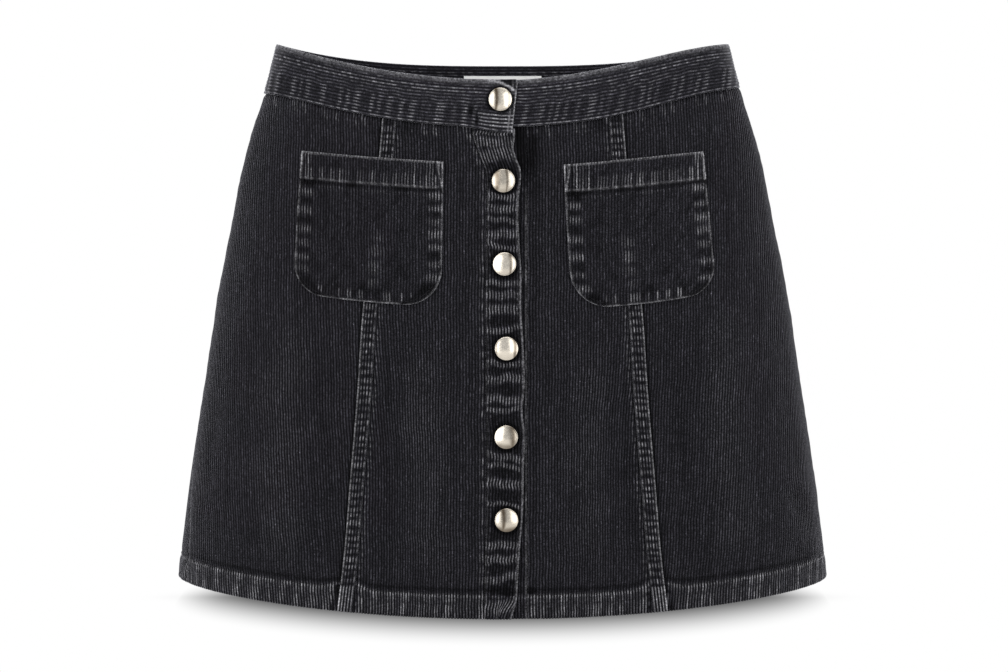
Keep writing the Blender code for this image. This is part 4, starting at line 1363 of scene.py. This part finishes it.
def snap(number, across, fall, tilt, reflections, material):
    """A domed cap with a pressed ring round it, tilted a little as it was set."""
    radii, heights = np.array(SNAP_PROFILE).T[:, :, None] * MM
    turns = np.arange(SNAP_SIDES) * 2 * math.pi / SNAP_SIDES
    rings = np.stack(np.broadcast_arrays(radii * np.cos(turns), radii * np.sin(turns), heights), -1)
    points = rings.reshape(-1, 3)[:(len(radii) - 1) * SNAP_SIDES + 1]    # one point at the top
    top, last = len(points) - 1, (len(radii) - 2) * SNAP_SIDES
    around = [(j, (j + 1) % SNAP_SIDES) for j in range(SNAP_SIDES)]
    faces = [(i + j, i + k, i + SNAP_SIDES + k, i + SNAP_SIDES + j)
             for i in range(0, last, SNAP_SIDES) for j, k in around]
    faces += [(last + j, last + k, top) for j, k in around] + [tuple(reversed(range(SNAP_SIDES)))]
    mesh = bpy.data.meshes.new(f"cap_{number}")
    mesh.from_pydata(points.tolist(), [], faces)
    shade = reflection_shade(*points.T[:2] / SNAP_RADIUS, *reflections)
    seat = (BAND_OUTER + TAB_LIFT if fall < BAND_FALL else OVER_OUTER) + SEAM_GAP
    point, normal = skin(angle_at(across, fall), fall)
    turn = Vector(normal).to_track_quat("Z", "Y").to_matrix().to_4x4()
    lean_y, lean_x = (Matrix.Rotation(math.radians(lean), 4, axis) for lean, axis in zip(tilt, "YX"))
    place = Matrix.Translation(Vector(point + normal * seat)) @ turn @ lean_y @ lean_x
    obj = new_piece(f"cap_{number}", mesh, material, {"shade": shade}, SNAP_SHARP_ANGLE, place)
    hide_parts(f"snap_{number}")


# ---- topstitching ---------------------------------------------------------------------
def stitch_mesh():
    """One stitch lying along X: a short bowed thread that dips in at both ends."""
    ring = np.arange(THREAD_SIDES) * 2 * math.pi / THREAD_SIDES
    points = [(x * STITCH, THREAD * size * math.cos(a), THREAD * (rise + size * math.sin(a)))
              for x, rise, size in STITCH_STATIONS for a in ring]
    j = np.arange(THREAD_SIDES)
    start = np.arange(len(STITCH_STATIONS) - 1)[:, None] * THREAD_SIDES
    here, onward = start + j, start + (j + 1) % THREAD_SIDES
    faces = np.stack([here, here + THREAD_SIDES, onward + THREAD_SIDES, onward], -1)
    return np.array(points), faces.reshape(-1, 4)


def stitch_row(name, angle, fall, out, material):
    """Stitches along a line, given as many close places on the skin."""
    point, normal = skin(angle, fall)
    line = point + normal * np.broadcast_to(out, angle.shape)[:, None]
    steps = np.linalg.norm(np.diff(line, axis=0), axis=1)
    length = np.concatenate([[0.0], np.cumsum(steps)])
    count = int(length[-1] / (STITCH + STITCH_SPACE))
    middles = (np.arange(count) + 0.5) * length[-1] / count

    def read(values, at):
        return np.stack([np.interp(at, length, values[:, k]) for k in range(3)], -1)

    def unit(vectors):
        return vectors / np.linalg.norm(vectors, axis=1, keepdims=True)

    along = unit(read(line, middles + 0.4 * MM) - read(line, middles - 0.4 * MM))
    up = read(normal, middles)
    up = unit(up - along * (up * along).sum(1, keepdims=True))
    axes = np.stack([along, np.cross(up, along), up], 1)
    shape, faces = stitch_mesh()
    points = read(line, middles)[:, None] + shape @ axes
    marks = np.zeros((count * len(shape), len(MARKS)))
    marks[:, MARKS.index("along")] = np.repeat(np.arange(count), len(shape))
    cloth = Cloth()
    cloth.add(points.reshape(-1, 3), np.zeros((len(marks), 3)), marks)
    cloth.faces = [(faces + np.arange(count)[:, None, None] * len(shape)).reshape(-1, 4)]
    return cloth.build(name, material)


def topstitching(material):
    down = np.linspace(BAND_FALL + 0.006, 0.995, 400)
    for side, word in SIDES.items():
        above = down[down < POCKET_TOP_FALL[side][1] - 0.004]
        below = down[down > POCKET_LOW_FALL[side][1] + 0.006]
        for row, inside in zip(("outer", "inner"), STITCH_ROWS):
            for part, falls in enumerate((above, below)):
                angle = side * angle_at(seam_across(falls) - inside, falls)
                stitch_row(f"stitches_seam_{word}_{row}_{part}", angle, falls, LAP_LIFT - 0.1 * MM, material)
        pocket_stitches(side, word, material)
    falls = np.linspace(BAND_FALL + TAB_DROOP + 0.010, 0.993, 500)
    for name, column, inset in (("left", 1, 2.0 * MM), ("right", 2, -2.6 * MM)):
        across = curve_through(PLACKET_EDGES, falls, column) + inset
        out = OVER_OUTER - 0.55 * MM + placket_folds(across, falls)[0]
        stitch_row(f"stitches_placket_{name}", angle_at(across, falls), falls, out, material)
    left_seam = side_seam(-1, HEM_FALL)
    front = np.linspace(-left_seam, QUARTER, 900)
    hem_parts = {"left": front[front < angle_at(HEM_STITCH_ENDS[0], HEM_FALL)],
                 "right": front[front > angle_at(HEM_STITCH_ENDS[1], HEM_FALL)],
                 "back": np.linspace(QUARTER + 0.01, 2 * math.pi - left_seam - 0.01, 1200)}
    for word, angles in hem_parts.items():
        stitch_row(f"stitches_hem_{word}", angles, HEM_FALL, 0.0, material)


def pocket_stitches(side, word, material):
    """Two rows inside a pocket's edge."""
    form = PocketForm(side)
    flat = np.linspace(0.0, 1.0, 90)[1:-1]
    for row, aside in (("outer", 2.0 * MM), ("inner", 7.6 * MM)):
        share = mix(0.02, 1 - aside / form.height, np.sin(np.linspace(0.0, QUARTER, 200)))
        outer, inner = form.edges(share, aside)
        distance = np.concatenate([outer, mix(outer[-1], inner[-1], flat), inner[::-1]])
        share = np.concatenate([share, np.full(len(flat), share[-1]), share[::-1]])
        fall = form.fall(distance, share)
        out = SEAM_GAP + CLOTH + LAP_LIFT * form.over_lap(distance, fall) - 0.15 * MM
        out = out + np.where(share < POCKET_BAND, POCKET_BAND_LIFT, 0.0)
        stitch_row(f"stitches_pocket_{word}_{row}", side * angle_at(distance, fall), fall, out, material)


# ---- materials --------------------------------------------------------------------
class Value:
    """A value in a material. Arithmetic on it adds nodes."""

    def __init__(self, shader, socket):
        self.shader, self.socket = shader, socket

    def math(self, operation, other=None):
        return self.shader.node("ShaderNodeMath", self, other, operation=operation)

    def __add__(self, other):
        return self.math("ADD", other)

    def __sub__(self, other):
        return self.math("SUBTRACT", other)

    def __mul__(self, other):
        return self.math("MULTIPLY", other)

    def ramp(self, low, high, start=0.0, end=1.0):
        return self.shader.node("ShaderNodeMapRange", self, low, high, start, end,
                                interpolation_type="SMOOTHSTEP")

    def tint(self, color):
        return self.shader.node("ShaderNodeVectorMath", color, None, None, self, operation="SCALE")


class Shader:
    """A node material in the making."""

    def __init__(self, name, **finish):
        self.material = bpy.data.materials.new(name)
        self.material.use_nodes = True
        self.tree = self.material.node_tree
        self.finish(**finish)

    def finish(self, **values):
        """Set or link the surface's sockets by name, with _ for a space. Gives the material."""
        for name, value in values.items():
            self.feed(self.tree.nodes["Principled BSDF"].inputs[name.replace("_", " ")], value)
        return self.material

    def feed(self, socket, source):
        if isinstance(source, Value):
            self.tree.links.new(source.socket, socket)
        elif source is not None:
            socket.default_value = source

    def node(self, kind, *sources, output=0, **settings):
        node = self.tree.nodes.new(kind)
        for key, value in settings.items():
            setattr(node, key, value)
        for socket, source in zip(node.inputs, sources):
            self.feed(socket, source)
        return Value(self, node.outputs[output])

    def mark(self, name):
        return self.node("ShaderNodeAttribute", attribute_name=name, output="Fac")

    def place(self):
        return self.node("ShaderNodeTexCoord", output="Object")

    def noise(self, place, scale=1.0, detail=2.0, roughness=0.5):
        """Noise at a place, or at a tuple of two or three values."""
        if isinstance(place, tuple):
            place = self.node("ShaderNodeCombineXYZ", *place)
        return self.node("ShaderNodeTexNoise", place, None, scale, detail, roughness)

    def bump(self, height, distance, strength):
        return self.node("ShaderNodeBump", strength, distance, None, height)


# VALLEY_SHADE is dark partly as painted shade in the valleys; EDGE_SHADE is the painted light of lit edges.
VALLEY_SHADE = 0.0043
CREST_SHADE = 0.0120
STREAK_SHADE = 0.036
WORN_SHADE = 0.29
EDGE_SHADE = 0.24
SPECK_SHADE = 0.05
DULL_AND_SHADE = 4.0                   # how strongly wear and shade below 0 darkens: mostly painted shade, a few dull patches
INK = (1.0, 0.965, 1.17)
RUBBED_AND_LIT = (1.0, 0.99, 1.03)
BRIGHT_METAL = (0.82, 0.75, 0.64, 1.0)
REFLECTED_BROWN = (0.13, 0.10, 0.07, 1.0)


def corduroy(name, streaks=1.0, valley=1.0):
    """Ribbed pile: valleys darker, partly as painted shade; crests rubbed lighter in uneven streaks and where
    worn.
    """
    shader = Shader(name, Sheen_Weight=0.45, Sheen_Roughness=0.30, Sheen_Tint=(0.93, 0.93, 1.0, 1.0),
                    Specular_IOR_Level=0.04)
    wale, along, wear_and_shade, edge = (shader.mark(mark) for mark in MARKS)
    rib = (wale.math("FRACT") - 0.5).math("ABSOLUTE")
    crest, line = rib.ramp(0.46, 0.06), rib.ramp(0.30, 0.02)
    own = wale.math("FLOOR") * 7.31
    tone = shader.noise((own, along * 16.0, 9.0))
    streak = shader.noise((own, along * 150.0), detail=3.0, roughness=0.65)
    patch = shader.noise((wale * 0.16, along * 60.0))
    fibre = shader.noise((wale * 5.0, along * 2400.0), roughness=0.6)
    grit = shader.noise((wale * 2.4, along * 1000.0, 3.0), detail=1.0)
    fleck = shader.noise((wale * 1.3, along * 500.0, 5.0), detail=1.0)
    # painted shade where wear and shade is below 0, with a few dull patches
    dull_and_shade = (wear_and_shade.math("MINIMUM", 0.0) * DULL_AND_SHADE + 1.0).math("MAXIMUM", 0.25)
    streaky = streak.ramp(0.42, 0.74) * patch.ramp(0.30, 0.70, 0.40, 1.0)
    worn = wear_and_shade.math("MAXIMUM", 0.0) * streak.ramp(0.25, 0.60, 0.40, 1.0)
    pile = (crest * tone.ramp(0.30, 0.70, 0.65, 1.35) * CREST_SHADE + VALLEY_SHADE * valley
            + line * streaky * (STREAK_SHADE * streaks) + crest * fleck.ramp(0.72, 0.80) * SPECK_SHADE)
    # rubbed crests, and the lit edges' painted light
    rubbed_and_lit = line * worn * WORN_SHADE + edge * fleck.ramp(0.30, 0.60, 0.45, 1.0) * EDGE_SHADE
    uneven = dull_and_shade * grit.ramp(0.25, 0.75, 0.50, 1.50) * fleck.ramp(0.25, 0.75, 0.75, 1.25)
    color = shader.node("ShaderNodeVectorMath", (pile * uneven).tint(INK), (rubbed_and_lit * uneven).tint(RUBBED_AND_LIT),
                        operation="ADD")
    return shader.finish(Base_Color=color, Normal=shader.bump(fibre + crest * 0.5, 0.12 * MM, 0.6),
                         Roughness=fibre.ramp(0.2, 0.8, 0.82, 0.98))


def twill(name):
    """The wrong side of corduroy: a flat, fine, slanting weave."""
    shader = Shader(name, Sheen_Weight=0.15, Sheen_Roughness=0.5, Specular_IOR_Level=0.2)
    wale, along = shader.mark("wale"), shader.mark("along")
    weave = ((wale * 3.0 + along * 1400.0) * (2 * math.pi)).math("SINE")
    fuzz = shader.noise((wale * 2.0, along * 900.0), detail=3.0)
    value = weave.ramp(-1.0, 1.0) * 0.009 + 0.013 + fuzz * 0.010
    return shader.finish(Base_Color=value.tint(INK), Normal=shader.bump(weave, 0.08 * MM, 0.5),
                         Roughness=fuzz.ramp(0.3, 0.7, 0.8, 0.95))


def snap_metal():
    """Pale champagne metal, lightly rubbed, with brown reflections painted where its shade is stored."""
    shader = Shader("cap_metal", Metallic=1.0)
    place = shader.place()
    cloudy, scuff = shader.noise(place, 160.0, 3.0), shader.noise(place, 900.0)
    reflection_and_mottle = shader.mark("shade") + cloudy.ramp(0.3, 0.7, 0.0, 0.10)
    tone = shader.node("ShaderNodeMix", reflection_and_mottle, *[None] * 5, BRIGHT_METAL, REFLECTED_BROWN, output=2,
                       data_type="RGBA")
    return shader.finish(Base_Color=tone, Normal=shader.bump(scuff, 0.01 * MM, 0.25),
                         Roughness=scuff.ramp(0.3, 0.75, 0.18, 0.28))


def label_cloth():
    """White ribbon weave."""
    shader = Shader("label_weave", Sheen_Weight=0.1, Specular_IOR_Level=0.3)
    warp, weft = shader.mark("wale") * 14.0, shader.mark("along") * 16000.0
    weave = warp.math("SINE") * weft.math("SINE")
    color = weave.ramp(-1.0, 1.0, 0.95, 1.0).tint((1.0, 0.99, 0.97))
    return shader.finish(Base_Color=color, Normal=shader.bump(weave, 0.05 * MM, 0.4),
                         Roughness=weave.ramp(-1.0, 1.0, 0.6, 0.75))


def thread():
    """Black cotton thread, twisted."""
    shader = Shader("black_thread", Sheen_Weight=0.05, Specular_IOR_Level=0.1)
    twist = shader.noise(shader.place(), 2600.0)
    return shader.finish(Base_Color=twist.ramp(0.3, 0.7, 0.004, 0.014).tint(INK),
                         Normal=shader.bump(twist, 0.05 * MM, 0.5), Roughness=twist.ramp(0.3, 0.7, 0.6, 0.85))


# ---- camera, floor and light --------------------------------------------------------
def aim(obj, place, target):
    obj.location = place
    obj.rotation_euler = (Vector(target) - obj.location).to_track_quat("-Z", "Y").to_euler()


def camera():
    data = bpy.data.cameras.new("camera")
    data.lens = CAMERA_LENS
    data.clip_start = 0.05
    bpy.context.scene.camera = new_object("camera", data)
    aim(bpy.context.scene.camera, CAMERA_PLACE, CAMERA_TARGET)


def softbox(name, place, size, power):
    data = bpy.data.lights.new(name, "AREA")
    data.shape = "RECTANGLE"
    data.size, data.size_y = size
    data.energy = power
    aim(new_object(name, data), place, LIGHT_TARGET)


def studio():
    """Two tall softboxes beside the camera, one above, two strips behind, and an even pale room."""
    for light in SOFTBOXES:
        softbox(*light)
    world = bpy.data.worlds.new("studio")
    world.use_nodes = True
    tree = world.node_tree
    tree.nodes.clear()
    path, lit, seen, either, output = (tree.nodes.new(kind) for kind in (
        "ShaderNodeLightPath", "ShaderNodeBackground", "ShaderNodeBackground", "ShaderNodeMixShader",
        "ShaderNodeOutputWorld"))
    lit.inputs["Color"].default_value = ROOM_COLOR
    lit.inputs["Strength"].default_value = ROOM_STRENGTH
    seen.inputs["Color"].default_value = WHITE
    tree.links.new(path.outputs["Is Camera Ray"], either.inputs[0])
    tree.links.new(lit.outputs[0], either.inputs[1])
    tree.links.new(seen.outputs[0], either.inputs[2])
    tree.links.new(either.outputs[0], output.inputs[0])
    bpy.context.scene.world = world
    bpy.context.scene.view_settings.view_transform = "Standard"


def floor():
    """A white sweep that glows, with a shadow painted round the hem. The hem stands clearer of it towards the
    sides.
    """
    mesh = bpy.data.meshes.new("floor")
    corners = [(x * FLOOR_HALF, y * FLOOR_HALF, 0) for x, y in ((-1, -1), (1, -1), (1, 1), (-1, 1))]
    mesh.from_pydata(corners, [], [(0, 1, 2, 3)])
    obj = new_object("floor", mesh)
    obj.location.z = FLOOR_Z
    shader = Shader("floor", Specular_IOR_Level=0.0, Roughness=1.0, Base_Color=(0.0, 0.0, 0.0, 1.0),
                    Emission_Color=WHITE)
    place = shader.place()
    x, y = (shader.node("ShaderNodeSeparateXYZ", place, output=axis).math("ABSOLUTE") for axis in "XY")
    half_width, half_depth = LEVELS[-1][1:]
    share = x * (1 / half_width)
    squared = share * share
    curve = (squared * -1.0 + 1.0).math("MAXIMUM", 0.0).math("SQRT")
    clear = squared * FLOOR_CLEAR[1] + FLOOR_CLEAR[0]
    soft_y = (y * y + FLOOR_SOFT).math("SQRT")
    distance = soft_y + clear + curve * -half_depth
    shade = distance.ramp(*FLOOR_FADE) * x.ramp(*FLOOR_SIDE) * FLOOR_DARK
    mesh.materials.append(shader.finish(Emission_Strength=shade * -1.0 + 1.0))


# ---- the skirt ----------------------------------------------------------------------
def main():
    camera()
    cord = corduroy("corduroy_panel")
    pocket_cord = corduroy("corduroy_pocket", streaks=1.1)
    placket_cord = corduroy("corduroy_placket", streaks=1.6)
    band_cord = corduroy("corduroy_band", streaks=1.4, valley=1.9)
    inside = twill("corduroy_inside")
    back_panel(cord, inside)
    for side in SIDES:
        side_panel(side, cord, inside)
        front_panel(side, cord, inside)
        pocket(side, pocket_cord)
    placket_under(cord, inside)
    placket_over(placket_cord)
    waistband_back(band_cord)
    waistband_right(band_cord)
    waistband_left(band_cord)
    label(label_cloth())
    metal = snap_metal()
    for number, ((across, fall), tilt, reflections) in enumerate(zip(SNAPS, SNAP_TILTS, SNAP_REFLECTIONS), start=1):
        snap(number, across, fall, tilt, reflections, metal)
    topstitching(thread())
    floor()
    studio()


main()
